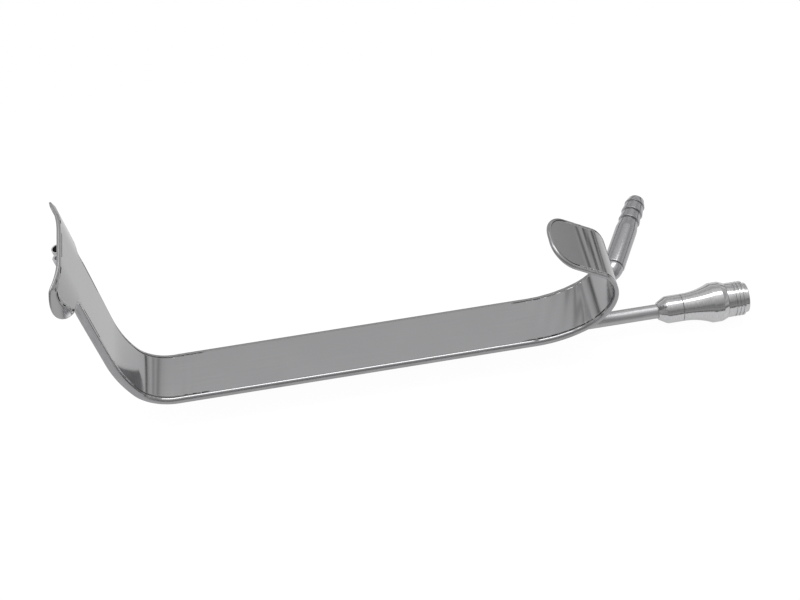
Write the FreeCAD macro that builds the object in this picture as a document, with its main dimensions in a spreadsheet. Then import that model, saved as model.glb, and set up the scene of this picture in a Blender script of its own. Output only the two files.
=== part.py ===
"""Hand-held lighted retractor with a suction tube.

Frame: the origin is the middle of the handle's flat inner face. +X runs along the handle to the
light connector, +Z up the blade, and +Y to the side that the suction barb points to. Millimetres.
"""
import FreeCAD, Part
import math
import os
import Sketcher
from FreeCAD import Placement, Rotation, Vector

SIZES = {
    # Bent steel strip: handle, bend at the blade, and finger hook
    "strip_width": 20.0,
    "strip_thick": 3.0,
    "edge_round": 0.7,
    "handle_length": 127.3,
    "heel_radius": 12.9,
    "heel_angle": 67.4,
    "instep_radius": 60.8,
    "instep_angle": 18.6,
    "hook_rise_radius": 31.1,
    "hook_rise_angle": 31.0,
    "hook_back_radius": 18.5,
    "hook_back_angle": 90.0,
    "hook_top_radius": 6.0,
    "hook_top_angle": 23.1,
    "tongue_length": 21.0,
    # What the inner arcs of the hook are larger by, which thins it towards the tongue
    "hook_rise_thinning": 2.2,
    "hook_back_thinning": 0.35,
    "tongue_corner": 8.4,
    # Blade, with its height from the end of the bend, and its winged tip, measured down from the top
    "blade_height": 53.9,
    "thin_length": 15.9,
    "blade_taper": 2.6,
    "tip_thick": 1.3,
    "tip_flat_half": 6.0,
    "wing_curl_radius": 29.3,
    "wing_centre_drop": 7.4,
    "wing_centre_side": 10.1,
    "wing_round": 10.7,
    "wing_corner": 2.0,
    "wing_edge_round": 0.5,
    "wing_root_drop": 27.9,
    "wing_root_inset": 1.2,
    # Light guide behind the strip
    "light_side": -0.9,
    "light_tip_side": 0.3,
    "tube_gap": 0.1,
    "inlet_gap": 0.3,
    "inlet_tube_radius": 2.6,
    "inlet_tube_start": 40.0,
    "inlet_tube_end": 115.9,
    "light_tube_radius": 1.6,
    "light_tube_wall": 0.4,
    "light_tube_end": 118.5,
    "tube_slip": 0.1,
    "jog_lead": 2.0,
    "jog_length": 12.0,
    "bundle_radius": 0.87,
    "tip_dip_lead": 4.0,
    "tip_dip_length": 9.0,
    "tip_tube_gap": 0.3,
    "tube_end_drop": 6.9,
    "exit_ferrule_length": 3.0,
    "exit_ferrule_wall": 0.25,
    "glass_thick": 0.8,
    "glass_fit": 0.03,
    # Suction tube, its collar and the hose barb
    "suction_side": 4.0,
    "suction_radius": 1.8,
    "suction_wall": 0.4,
    "suction_turn_start": 83.8,
    "suction_turn_radius": 10.0,
    "suction_turn_angle": 61.0,
    "suction_run": 8.54,
    "collar_length": 5.0,
    "collar_small_radius": 2.4,
    "collar_radius": 3.9,
    "collar_grip": 4.0,
    "collar_spigot_radius": 3.0,
    "collar_spigot_length": 1.6,
    "barb_radius": 4.1,
    "barb_bore": 1.8,
    "barb_plain": 18.3,
    "barb_pitch": 4.1,
    "barb_ridge": 0.45,
    "barb_ridge_count": 3,
    "barb_nose_radius": 3.9,
    "barb_tip_radius": 2.9,
    "barb_tip_length": 3.2,
    # Light connector, turned about the light guide's axis
    "boss_mouth_wall": 0.5,
    "boss_cone_length": 3.2,
    "boss_radius": 5.0,
    "boss_length": 5.5,
    "boss_socket_depth": 6.0,
    "nipple_radius": 3.4,
    "nipple_length": 9.5,
    "nipple_bore": 1.7,
    "thread_clearance": 0.05,
    "joint_gap": 0.1,
    "flare_waist_length": 0.6,
    "flare_rise_length": 10.1,
    "flare_radius": 7.25,
    "flare_land": 3.4,
    "flare_chamfer": 1.9,
    "flare_nose_radius": 6.5,
    "socket_radius": 4.65,
    "socket_depth": 5.4,
    "end_spigot_length": 5.0,
    "end_radius": 6.25,
    "end_plain": 2.4,
    "end_groove": 0.5,
    "end_groove_width": 0.6,
    "end_groove_pitch": 1.3,
    "end_groove_count": 3,
    "end_nose_radius": 5.4,
    "end_nose_length": 1.6,
    "end_bore": 3.0,
    "seal_section": 0.36,
    "seal_fit": 0.06,
    "inlet_ferrule_wall": 0.7,
    "inlet_ferrule_length": 5.5,
    # Saddles that hold both tubes to the strip
    "saddle_length": 5.0,
    "saddle_wall": 0.8,
    "saddle_slip": 0.05,
    "saddle_chamfer": 1.2,
    "rear_saddle_at": 58.0,
    "middle_saddle_at": 5.0,
    "front_saddle_at": -52.0,
}
INLET_DEPTH = "Sizes.strip_thick + Sizes.inlet_gap + Sizes.inlet_tube_radius"
LIGHT_DEPTH = "Sizes.strip_thick + Sizes.tube_gap + Sizes.light_tube_radius"
SUCTION_DEPTH = "Sizes.strip_thick + Sizes.tube_gap + Sizes.suction_radius"
LIGHT_BORE = "Sizes.light_tube_radius - Sizes.light_tube_wall"
SEAL_ROOM = "2 * Sizes.seal_section + 2 * Sizes.seal_fit"
BOSS_START = "Sizes.inlet_tube_end - Sizes.boss_socket_depth"
BOSS_END = f"{BOSS_START} + Sizes.boss_cone_length + Sizes.boss_length"
NIPPLE_END = f"{BOSS_END} + Sizes.nipple_length"
FLARE_START = f"{BOSS_END} + Sizes.joint_gap"
FLARE_LENGTH = ("Sizes.flare_waist_length + Sizes.flare_rise_length"
                " + Sizes.flare_land + Sizes.flare_chamfer")
FLARE_END = f"{FLARE_START} + {FLARE_LENGTH}"
END_START = f"{FLARE_END} + Sizes.joint_gap - Sizes.end_spigot_length"

doc = FreeCAD.newDocument("retractor")
sheet = doc.addObject("Spreadsheet::Sheet", "Sizes")
parts = []


def fill_sheet():
    """Writes every size as a plain number with its alias."""
    for row, (alias, value) in enumerate(SIZES.items(), start=1):
        sheet.set(f"A{row}", alias)
        sheet.set(f"B{row}", str(value))
        sheet.setAlias(f"B{row}", alias)
    doc.recompute()


def size(expression):
    """The number that an expression of the sheet's cells comes to."""
    value = sheet.evalExpression(expression.replace("Sizes.", ""))
    return float(getattr(value, "Value", value))


def keep(piece, node):
    """Labels a finished piece and keeps it for export."""
    piece.Label = node
    parts.append(piece)


def sketch_on(body, name, role):
    """An empty sketch on one of the body's own origin planes."""
    sketch = body.newObject("Sketcher::SketchObject", name)
    plane = next(item for item in body.Origin.OriginFeatures if item.Role == role)
    sketch.AttachmentSupport = [(plane, "")]
    sketch.MapMode = "FlatFace"
    return sketch


def tie_point(sketch, curve, corner, across, up):
    """Holds a curve's first or centre point at two expressions, where None is zero."""
    spot = Vector(size(across) if across else 0.0, size(up) if up else 0.0, 0)
    for kind, axis, distance, expression in (
        ("DistanceX", -2, spot.x, across),
        ("DistanceY", -1, spot.y, up),
    ):
        if expression is None:
            sketch.addConstraint(Sketcher.Constraint("PointOnObject", curve, corner, axis))
        else:
            number = sketch.addConstraint(Sketcher.Constraint(kind, -1, 1, curve, corner, distance))
            sketch.setExpression(f"Constraints[{number}]", expression)


def polygon(sketch, corners):
    """Closed polygon with each corner tied to a pair of expressions."""
    spots = [Vector(size(x) if x else 0.0, size(y) if y else 0.0, 0) for x, y in corners]
    for index, spot in enumerate(spots):
        sketch.addGeometry(Part.LineSegment(spot, spots[(index + 1) % len(spots)]), False)
    for index in range(len(spots)):
        following = (index + 1) % len(spots)
        sketch.addConstraint(Sketcher.Constraint("Coincident", index, 2, following, 1))
    for index, (across, up) in enumerate(corners):
        tie_point(sketch, index, 1, across, up)


def hole(sketch, across, up, radius):
    """Circle with its centre and radius tied to expressions."""
    centre = Vector(size(across), size(up), 0)
    circle = sketch.addGeometry(Part.Circle(centre, Vector(0, 0, 1), size(radius)), False)
    tie_point(sketch, circle, 3, across, up)
    number = sketch.addConstraint(Sketcher.Constraint("Radius", circle, size(radius)))
    sketch.setExpression(f"Constraints[{number}]", radius)


def turn_about_x(body, sketch):
    """Turns a half outline about the body's X axis."""
    turn = body.newObject("PartDesign::Revolution", f"{body.Name}_turn")
    turn.Profile = sketch
    turn.ReferenceAxis = (sketch, ["H_Axis"])
    turn.Angle = 360.0


def turned(name, corners):
    """Body turned about X from a half outline of corners."""
    body = doc.addObject("PartDesign::Body", name)
    sketch = sketch_on(body, f"{name}_half", "XZ_Plane")
    polygon(sketch, corners)
    turn_about_x(body, sketch)
    return body


def ring_corners(length, outer, inner):
    """Half outline of a plain ring or tube that starts at zero."""
    return [(None, outer), (length, outer), (length, inner), (None, inner)]


def on_light_axis(body, along):
    """Places a turned body on the light guide's axis behind the handle."""
    body.setExpression("Placement.Base.x", along)
    body.setExpression("Placement.Base.y", "Sizes.light_side")
    body.setExpression("Placement.Base.z", f"-({INLET_DEPTH})")


def ray(heading):
    """Unit vector at an angle in degrees."""
    return Vector(math.cos(math.radians(heading)), math.sin(math.radians(heading)), 0)


def walk(point, heading, steps):
    """Tangent runs and arcs from a point.

    A step is (length, 0) for a run or (radius, degrees) for an arc, with left turns positive.
    Returns the curves, the last point and the last heading.
    """
    curves = []
    for reach, turn in steps:
        if turn == 0:
            end = point + ray(heading) * reach
            curves.append(Part.LineSegment(point, end))
        else:
            side = heading + math.copysign(90, turn)
            centre = point + ray(side) * reach
            middle = centre - ray(side + turn / 2) * reach
            end = centre - ray(side + turn) * reach
            curves.append(Part.Arc(point, middle, end))
            heading += turn
        point = end
    return curves, point, heading


def bend_steps(depth):
    """Bend from the handle to the blade at a depth behind the strip's inner face."""
    return [
        (size("heel_radius") + depth, -size("heel_angle")),
        (size("instep_radius") + depth, -size("instep_angle")),
    ]


def handle_end(side, depth):
    """Point at the handle's tangent end, on the blade's side (-1) or the hook's side (+1)."""
    return Vector(side * size("handle_length") / 2, -depth, 0)


def blade_walk(depth, steps):
    """Curves from the handle round the bend and up the blade at one depth."""
    return walk(handle_end(-1, depth), 180, bend_steps(depth) + steps)


def hook_walk(depth, beside=None):
    """Curves from the handle round the finger hook to the tongue's end at one depth.

    The arcs grow towards the inner face, which thins the hook. With a point beside it, the tongue
    ends square across from that point. Returns the curves and the last point.
    """
    share = 1 - depth / size("strip_thick")
    rise = size("hook_rise_radius") + depth + share * size("hook_rise_thinning")
    back = size("hook_back_radius") + depth + share * size("hook_back_thinning")
    arcs, root, heading = walk(handle_end(1, depth), 0, [
        (rise, size("hook_rise_angle")),
        (back, size("hook_back_angle")),
        (size("hook_top_radius") + depth, size("hook_top_angle")),
    ])
    reach = size("tongue_length") if beside is None else (beside - root).dot(ray(heading))
    tongue, tip, _ = walk(root, heading, [(reach, 0)])
    return arcs + tongue, tip


def blade_frame():
    """Placement at the end of the bend, with local X up the blade and Z out of its back."""
    _, foot, heading = blade_walk(0, [])
    return Placement(Vector(foot.x, 0, foot.y), Rotation(Vector(0, 1, 0), -heading))


def edge_names(shape, wanted):
    """Names of the shape's edges whose middle point and length pass a test."""
    names = []
    for number, edge in enumerate(shape.Edges, start=1):
        middle = edge.valueAt((edge.FirstParameter + edge.LastParameter) / 2)
        if wanted(middle, edge.Length):
            names.append(f"Edge{number}")
    return names


def fillet(body, base, names, radius):
    """Rounds the named edges of the body's last feature."""
    rounding = body.newObject("PartDesign::Fillet", f"{body.Name}_{radius}")
    rounding.Base = (base, names)
    rounding.setExpression("Radius", f"Sizes.{radius}")
    doc.recompute()
    return rounding


def bent_strip():
    """Strip of one thickness, bent into the blade's lower part, the handle and the finger hook."""
    depth = size("strip_thick")
    height = size("blade_height - thin_length")
    inner_blade, inner_top, _ = blade_walk(0, [(height, 0)])
    outer_blade, outer_top, _ = blade_walk(depth, [(height - size("blade_taper"), 0)])
    outer_hook, outer_tip = hook_walk(depth)
    inner_hook, inner_tip = hook_walk(0, outer_tip)
    body = doc.addObject("PartDesign::Body", "bent_strip")
    sketch = sketch_on(body, "side_profile", "XZ_Plane")
    straight = [
        Part.LineSegment(handle_end(-1, 0), handle_end(1, 0)),
        Part.LineSegment(handle_end(-1, depth), handle_end(1, depth)),
        Part.LineSegment(inner_top, outer_top),
        Part.LineSegment(inner_tip, outer_tip),
    ]
    for curve in inner_blade + outer_blade + inner_hook + outer_hook + straight:
        sketch.addGeometry(curve, False)
    pad = body.newObject("PartDesign::Pad", "strip_pad")
    pad.Profile = sketch
    pad.SideType = "Symmetric"
    pad.setExpression("Length", "Sizes.strip_width")
    doc.recompute()
    tip = Vector(inner_tip.x + outer_tip.x, 0, inner_tip.y + outer_tip.y) / 2
    corners = edge_names(
        pad.Shape, lambda middle, _: Vector(middle.x, 0, middle.z).distanceToPoint(tip) < depth / 4)
    rounded = fillet(body, pad, corners, "tongue_corner")
    width = size("strip_width")
    thin = inner_tip.distanceToPoint(outer_tip)
    seat = min(inner_top.y, outer_top.y)

    def is_rim(middle, length):
        across = abs(middle.y) < depth / 4 and abs(length - width) < depth / 4
        through = min(abs(length - depth), abs(length - thin)) < depth / 100
        return not across and not through and not (middle.x < 0 and middle.z > seat)

    fillet(body, rounded, edge_names(rounded.Shape, is_rim), "edge_round")
    return body


def wing_shell():
    """Thin plate with both sides curled back, as long as the blade's tip."""
    half = size("tip_flat_half")
    curl = size("wing_curl_radius")
    thick = size("tip_thick")
    reach = size("wing_centre_side + wing_round") + thick - half
    angle = math.degrees(math.asin(reach / curl))
    body = doc.addObject("PartDesign::Body", "wing_shell")
    sketch = sketch_on(body, "wing_section", "YZ_Plane")
    ends = []
    for depth in (0, thick):
        right, right_end, _ = walk(Vector(half, depth, 0), 0, [(curl - depth, angle)])
        left, left_end, _ = walk(Vector(-half, depth, 0), 180, [(curl - depth, -angle)])
        middle = Part.LineSegment(Vector(-half, depth, 0), Vector(half, depth, 0))
        for curve in right + left + [middle]:
            sketch.addGeometry(curve, False)
        ends.append((right_end, left_end))
    for inner_end, outer_end in zip(*ends):
        sketch.addGeometry(Part.LineSegment(inner_end, outer_end), False)
    pad = body.newObject("PartDesign::Pad", "wing_shell_pad")
    pad.Profile = sketch
    pad.setExpression("Length", "Sizes.blade_height")
    return body


def wing_outline():
    """Block with the outline of the winged tip, seen square to the blade."""
    top = size("blade_height")
    root = size("blade_height - wing_root_drop")
    inset = size("strip_width / 2 - wing_root_inset")
    radius = size("wing_round")
    centre = Vector(size("blade_height - wing_centre_drop"), size("wing_centre_side"), 0)
    notch = Vector(centre.x - math.sqrt(radius ** 2 - (centre.y - inset) ** 2), inset, 0)
    corner = Vector(top, centre.y + math.sqrt(radius ** 2 - (top - centre.x) ** 2), 0)
    bulge = centre + Vector(-radius, radius, 0) / math.sqrt(2)
    body = doc.addObject("PartDesign::Body", "wing_outline")
    sketch = sketch_on(body, "wing_plan", "XY_Plane")
    for side in (-1, 1):
        points = [Vector(spot.x, side * spot.y, 0) for spot in (notch, bulge, corner)]
        sketch.addGeometry(Part.Arc(*points), False)
        sketch.addGeometry(Part.LineSegment(Vector(root, side * inset, 0), points[0]), False)
    for height, half in ((root, inset), (top, corner.y)):
        sketch.addGeometry(Part.LineSegment(Vector(height, -half, 0), Vector(height, half, 0)), False)
    pad = body.newObject("PartDesign::Pad", "wing_outline_pad")
    pad.Profile = sketch
    pad.SideType = "Symmetric"
    pad.setExpression("Length", "2 * Sizes.wing_curl_radius")
    doc.recompute()
    names = edge_names(
        pad.Shape,
        lambda middle, _: middle.x > top - 1e-6 and abs(abs(middle.y) - corner.y) < 1e-6
        and abs(middle.z) < 1e-6)
    fillet(body, pad, names, "wing_corner")
    return body


def retractor_strip():
    """Blade, handle and finger hook as the one strip that they are formed from."""
    tip = doc.addObject("Part::Common", "winged_tip")
    tip.Base = wing_shell()
    tip.Tool = wing_outline()
    for body in (tip.Base, tip.Tool):
        body.Placement = blade_frame()
    doc.recompute()
    soft_tip = doc.addObject("Part::Fillet", "soft_tip")
    soft_tip.Base = tip
    radius = size("wing_edge_round")
    frame = blade_frame().inverse()
    root = size("strip_width / 2")
    thick = size("tip_thick")

    def is_rim(middle, length):
        spot = frame.multVec(middle)
        beyond = abs(spot.y) > root or spot.x > size("blade_height") - thick / 4
        return beyond and length > 2 * thick

    rim = [int(name[4:]) for name in edge_names(tip.Shape, is_rim)]
    soft_tip.Edges = [(number, radius, radius) for number in rim]
    strip = doc.addObject("Part::Fuse", "strip")
    strip.Base = bent_strip()
    strip.Tool = soft_tip
    keep(strip, "retractor_strip")


def lift(curves, side):
    """Edges of XZ-plane curves at a distance to one side."""
    shape = Part.Shape(curves)
    shape.Placement = Placement(Vector(0, side, 0), Rotation(Vector(1, 0, 0), 90))
    return shape.Edges


def shift_steps(drop, length):
    """Two equal arcs that bring a route closer to the strip by a drop over a length."""
    if abs(drop) < Part.Precision.confusion():
        return [(length, 0)]
    angle = 2 * math.degrees(math.atan(drop / length))
    arc = length / (2 * math.sin(math.radians(abs(angle))))
    return [(arc, -angle), (arc, angle)]


def tip_steps(depth, radius):
    """Run up the blade's back and the shallow dip on to the thinner tip."""
    drop = depth - size("tip_thick + tip_tube_gap") - radius
    start = size("blade_height - thin_length - tip_dip_lead")
    length = size("tip_dip_length")
    last = size("blade_height - tube_end_drop") - start - length
    return [(start, 0)] + shift_steps(drop, length) + [(last, 0)]


def strip_route(start, run, depth, radius, side):
    """Edges of a tube's route: a run under the handle, then behind the strip to the tip."""
    steps = run + bend_steps(depth) + tip_steps(depth, radius)
    curves, end, heading = walk(Vector(start, -depth, 0), 180, steps)
    return lift(curves, side), Vector(end.x, side, end.y), heading


def light_route(start):
    """Route of the light guide from a point on the connector's axis to the blade's tip.

    Where it leaves the inlet tube it jogs up to the strip and sideways to the suction tube.
    """
    deep, depth = size(INLET_DEPTH), size(LIGHT_DEPTH)
    side, tip_side = size("light_side"), size("light_tip_side")
    jog, length = size("inlet_tube_start - jog_lead"), size("jog_length")
    drop = math.hypot(deep - depth, tip_side - side)
    first, _, _ = walk(Vector(start, 0, 0), 180, [(start - jog, 0)] + shift_steps(drop, length))
    lead = Part.Shape(first)
    tilt = math.degrees(math.atan2(deep - depth, tip_side - side))
    lead.Placement = Placement(Vector(0, side, -deep), Rotation(Vector(1, 0, 0), tilt))
    run = [(jog - length + size("handle_length / 2"), 0)]
    radius = size("light_tube_radius")
    edges, end, heading = strip_route(jog - length, run, depth, radius, tip_side)
    return lead.Edges + edges, end, heading


def swept_tube(name, edges, outer, inner):
    """Round tube or rod along tangent edges; a rod has no inner radius."""
    wire = Part.Wire(edges)
    start = wire.Edges[0].valueAt(wire.Edges[0].FirstParameter)
    course = wire.Edges[0].tangentAt(wire.Edges[0].FirstParameter)

    def filled(radius):
        rim = Part.Wire(Part.Circle(start, course, radius).toShape())
        return wire.makePipeShell([rim], True, False)

    solid = filled(outer) if inner is None else filled(outer).cut(filled(inner))
    section = math.pi * (outer ** 2 - (inner or 0) ** 2)
    print(name, "volume over section times length", round(solid.Volume / (section * wire.Length), 4))
    piece = doc.addObject("Part::Feature", name)
    piece.Shape = solid
    keep(piece, name)


def light_guide():
    """Light tube, its wider inlet tube, the fibres, and the ferrules and glass at both ends."""
    edges, end, heading = light_route(size("light_tube_end"))
    swept_tube("light_tube", edges, size("light_tube_radius"), size(LIGHT_BORE))
    glass = size("glass_thick")
    edges, _, _ = light_route(size(NIPPLE_END) - glass)
    last = edges[-1]
    up = last.tangentAt(last.LastParameter)
    shorter = Part.LineSegment(last.valueAt(last.FirstParameter), end - up * glass)
    swept_tube("fibre_bundle", edges[:-1] + [shorter.toShape()], size("bundle_radius"), None)
    inlet = turned("inlet_tube", ring_corners(
        "Sizes.inlet_tube_end - Sizes.inlet_tube_start",
        "Sizes.inlet_tube_radius",
        "Sizes.light_tube_radius + Sizes.tube_slip"))
    on_light_axis(inlet, "Sizes.inlet_tube_start")
    keep(inlet, "light_inlet_tube")
    slack = f"{LIGHT_BORE} - Sizes.glass_fit"
    ferrule_bore = f"{slack} - Sizes.exit_ferrule_wall"
    exit_ferrule = turned("exit_ferrule", ring_corners(
        "Sizes.exit_ferrule_length", slack, ferrule_bore))
    exit_glass = turned("exit_glass", ring_corners(
        "Sizes.glass_thick", f"{ferrule_bore} - Sizes.glass_fit", None))
    for body, back in ((exit_ferrule, size("exit_ferrule_length")), (exit_glass, glass)):
        base = end - up * back
        body.Placement = Placement(base, Rotation(Vector(0, 1, 0), -heading))
    keep(exit_ferrule, "light_exit_ferrule")
    keep(exit_glass, "light_exit_window")


def saddle(node, along, light_radius, light_depth, light_side):
    """Small block under both tubes, flat against the handle's back."""
    near = f"{light_side} - {light_radius} - Sizes.saddle_wall"
    far = "Sizes.suction_side + Sizes.suction_radius + Sizes.saddle_wall"
    width = f"{far} - ({near})"
    height = f"{light_depth} - Sizes.strip_thick + {light_radius} + Sizes.saddle_wall"
    cut = "Sizes.saddle_chamfer"
    body = doc.addObject("PartDesign::Body", node)
    sketch = sketch_on(body, f"{node}_section", "YZ_Plane")
    polygon(sketch, [
        (None, None),
        (width, None),
        (width, f"{height} - {cut}"),
        (f"{width} - {cut}", height),
        (cut, height),
        (None, f"{height} - {cut}"),
    ])
    block = body.newObject("PartDesign::Pad", f"{node}_block")
    block.Profile = sketch
    block.SideType = "Symmetric"
    block.setExpression("Length", "Sizes.saddle_length")
    sketch = sketch_on(body, f"{node}_bores", "YZ_Plane")
    hole(sketch, f"{far} - {light_side}", f"{light_depth} - Sizes.strip_thick",
         f"{light_radius} + Sizes.saddle_slip")
    hole(sketch, f"{far} - Sizes.suction_side", f"{SUCTION_DEPTH} - Sizes.strip_thick",
         "Sizes.suction_radius + Sizes.saddle_slip")
    bores = body.newObject("PartDesign::Pocket", f"{node}_bores_cut")
    bores.Profile = sketch
    bores.SideType = "Symmetric"
    bores.setExpression("Length", "2 * Sizes.saddle_length")
    body.Placement = Placement(Vector(), Rotation(Vector(1, 0, 0), 180))
    body.setExpression("Placement.Base.x", along)
    body.setExpression("Placement.Base.y", far)
    body.setExpression("Placement.Base.z", "-Sizes.strip_thick")
    keep(body, node)


def saddles():
    """Three saddles under the handle, the rear one round the wider inlet tube."""
    saddle("rear_saddle", "Sizes.rear_saddle_at", "Sizes.inlet_tube_radius", INLET_DEPTH,
           "Sizes.light_side")
    for place in ("middle_saddle", "front_saddle"):
        saddle(place, f"Sizes.{place}_at", "Sizes.light_tube_radius", LIGHT_DEPTH,
               "Sizes.light_tip_side")


def suction_line():
    """Suction tube, the collar that it ends in, and the hose barb."""
    depth = size(SUCTION_DEPTH)
    side = size("suction_side")
    start = size("suction_turn_start")
    turn = size("suction_turn_angle")
    radius = size("suction_radius")
    run = [(start + size("handle_length / 2"), 0)]
    edges, _, _ = strip_route(start, run, depth, radius, side)
    steps = [(size("suction_turn_radius"), turn), (size("suction_run + collar_grip"), 0)]
    plan, outlet, _ = walk(Vector(start, side, 0), 0, steps)
    branch = Part.Shape(plan)
    branch.Placement = Placement(Vector(0, 0, -depth), Rotation())
    swept_tube("suction_tube", list(reversed(edges)) + branch.Edges, radius,
               radius - size("suction_wall"))
    way = ray(turn)
    collar_foot = Vector(outlet.x, outlet.y, -depth) - way * size("collar_grip")
    spin = Rotation(Vector(0, 0, 1), turn)
    reach = "Sizes.collar_length + Sizes.collar_spigot_length"
    collar = turned("collar", [
        (None, "Sizes.collar_small_radius"),
        ("Sizes.collar_length", "Sizes.collar_radius"),
        ("Sizes.collar_length", "Sizes.collar_spigot_radius"),
        (reach, "Sizes.collar_spigot_radius"),
        (reach, "Sizes.suction_radius - Sizes.suction_wall"),
        ("Sizes.collar_grip", "Sizes.suction_radius - Sizes.suction_wall"),
        ("Sizes.collar_grip", "Sizes.suction_radius + Sizes.thread_clearance"),
        (None, "Sizes.suction_radius + Sizes.thread_clearance"),
    ])
    collar.Placement = Placement(collar_foot, spin)
    keep(collar, "suction_collar")
    barb = turned("barb", barb_corners())
    barb_foot = collar_foot + way * size("collar_length + joint_gap")
    barb.Placement = Placement(barb_foot, spin)
    keep(barb, "hose_barb")


def barb_corners():
    """Half outline of the barb: plain grip, ridges that fall towards the tip, and a stepped nose."""
    count = round(size("barb_ridge_count"))
    seat = "Sizes.collar_spigot_length"
    seat_radius = "Sizes.collar_spigot_radius + Sizes.thread_clearance"
    corners = [(None, "Sizes.barb_radius")]
    for index in range(count):
        crest = f"Sizes.barb_plain + {index} * Sizes.barb_pitch"
        corners.append((crest, "Sizes.barb_radius"))
        corners.append((f"{crest} + Sizes.barb_pitch", "Sizes.barb_radius - Sizes.barb_ridge"))
    nose = f"Sizes.barb_plain + {count} * Sizes.barb_pitch"
    last = f"{nose} + Sizes.barb_tip_length"
    return corners + [
        (nose, "Sizes.barb_nose_radius"),
        (last, "Sizes.barb_tip_radius"),
        (last, "Sizes.barb_bore"),
        (seat, "Sizes.barb_bore"),
        (seat, seat_radius),
        (None, seat_radius),
    ]


def connector_boss():
    """Fixed base of the connector: cone, plain barrel and the threaded nipple as one turned piece."""
    cone = "Sizes.boss_cone_length"
    barrel = f"{cone} + Sizes.boss_length"
    tip = f"{barrel} + Sizes.nipple_length"
    socket = "Sizes.inlet_tube_radius + Sizes.thread_clearance"
    boss = turned("boss", [
        (None, f"{socket} + Sizes.boss_mouth_wall"),
        (cone, "Sizes.boss_radius"),
        (barrel, "Sizes.boss_radius"),
        (barrel, "Sizes.nipple_radius"),
        (tip, "Sizes.nipple_radius"),
        (tip, "Sizes.nipple_bore"),
        ("Sizes.boss_socket_depth", "Sizes.nipple_bore"),
        ("Sizes.boss_socket_depth", socket),
        (None, socket),
    ])
    on_light_axis(boss, BOSS_START)
    keep(boss, "connector_boss")


def inlet_end():
    """Ferrule and polished glass that close the fibres inside the nipple."""
    outer = "Sizes.nipple_bore - Sizes.thread_clearance"
    bore = f"{outer} - Sizes.inlet_ferrule_wall"
    ferrule = turned("inlet_ferrule", ring_corners("Sizes.inlet_ferrule_length", outer, bore))
    on_light_axis(ferrule, f"{NIPPLE_END} - Sizes.inlet_ferrule_length")
    keep(ferrule, "light_inlet_ferrule")
    glass = turned("inlet_glass", ring_corners(
        "Sizes.glass_thick", f"{bore} - Sizes.glass_fit", None))
    on_light_axis(glass, f"{NIPPLE_END} - Sizes.glass_thick")
    keep(glass, "light_inlet_window")


def flared_adapter():
    """Adapter with the flared grip, screwed on the boss's nipple."""
    waist = size("boss_radius")
    rise = size("flare_radius") - waist
    length = size("flare_rise_length")
    arc = (length ** 2 + rise ** 2) / (2 * rise)
    angle = math.degrees(math.asin(length / arc))
    total = size(FLARE_LENGTH)
    bore = size("nipple_radius + thread_clearance")
    room = size(SEAL_ROOM)
    steps = [(size("flare_waist_length"), 0), (arc, angle)]
    outer, brow, _ = walk(Vector(0, waist, 0), 0, steps)
    shoulder = brow + Vector(size("flare_land"), 0, 0)
    mouth_radius = size("socket_radius - thread_clearance") + room
    corners = [
        shoulder,
        Vector(total, size("flare_nose_radius"), 0),
        Vector(total, mouth_radius, 0),
        Vector(total - room, mouth_radius, 0),
        Vector(total - room, size("socket_radius"), 0),
        Vector(total - size("socket_depth"), size("socket_radius"), 0),
        Vector(total - size("socket_depth"), bore, 0),
        Vector(room, bore, 0),
        Vector(room, size("nipple_radius") + room, 0),
        Vector(0, size("nipple_radius") + room, 0),
        Vector(0, waist, 0),
    ]
    body = doc.addObject("PartDesign::Body", "flare")
    sketch = sketch_on(body, "flare_half", "XZ_Plane")
    for curve in outer + [Part.LineSegment(brow, shoulder)]:
        sketch.addGeometry(curve, False)
    for first, second in zip(corners, corners[1:]):
        sketch.addGeometry(Part.LineSegment(first, second), False)
    turn_about_x(body, sketch)
    on_light_axis(body, FLARE_START)
    keep(body, "flared_adapter")


def end_adapter():
    """Ribbed end adapter, screwed into the flared adapter's socket."""
    spigot = "Sizes.end_spigot_length"
    plain = f"{spigot} + Sizes.end_plain"
    count = round(size("end_groove_count"))
    low = "Sizes.end_radius - Sizes.end_groove"
    corners = [
        (None, "Sizes.socket_radius - Sizes.thread_clearance"),
        (spigot, "Sizes.socket_radius - Sizes.thread_clearance"),
        (spigot, "Sizes.end_radius"),
    ]
    for index in range(count):
        near = f"{plain} + {index} * Sizes.end_groove_pitch"
        far = f"{near} + Sizes.end_groove_width"
        corners += [(near, "Sizes.end_radius"), (near, low), (far, low), (far, "Sizes.end_radius")]
    rim = f"{plain} + {count} * Sizes.end_groove_pitch"
    tip = f"{rim} + Sizes.end_nose_length"
    corners += [
        (rim, "Sizes.end_radius"),
        (rim, "Sizes.end_nose_radius"),
        (tip, "Sizes.end_nose_radius"),
        (tip, "Sizes.end_bore"),
        (None, "Sizes.end_bore"),
    ]
    body = turned("end_piece", corners)
    on_light_axis(body, END_START)
    keep(body, "end_adapter")


def seal_ring(node, along, shaft):
    """Sealing ring on a shaft, in the recess at an adapter's mouth."""
    ring = doc.addObject("Part::Torus", node)
    ring.setExpression("Radius1", f"{shaft} + Sizes.seal_fit + Sizes.seal_section")
    ring.setExpression("Radius2", "Sizes.seal_section")
    ring.Placement = Placement(Vector(), Rotation(Vector(0, 1, 0), 90))
    on_light_axis(ring, along)
    keep(ring, node)


def check_and_write():
    """Refuses a failed object or piece, then writes one file per piece."""
    doc.recompute()
    for item in doc.Objects:
        if "Invalid" in item.State or "Error" in item.State:
            raise RuntimeError(f"{item.Label} failed")
    os.makedirs("parts", exist_ok=True)
    for piece in parts:
        shape = piece.Shape
        if shape.isNull() or not shape.isValid() or shape.Volume <= 0:
            raise RuntimeError(f"{piece.Label} has no valid solid")
        shape.exportStep(f"parts/{piece.Label}.step")
        print(piece.Label, "solids", len(shape.Solids), "volume", round(shape.Volume, 2))


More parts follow.
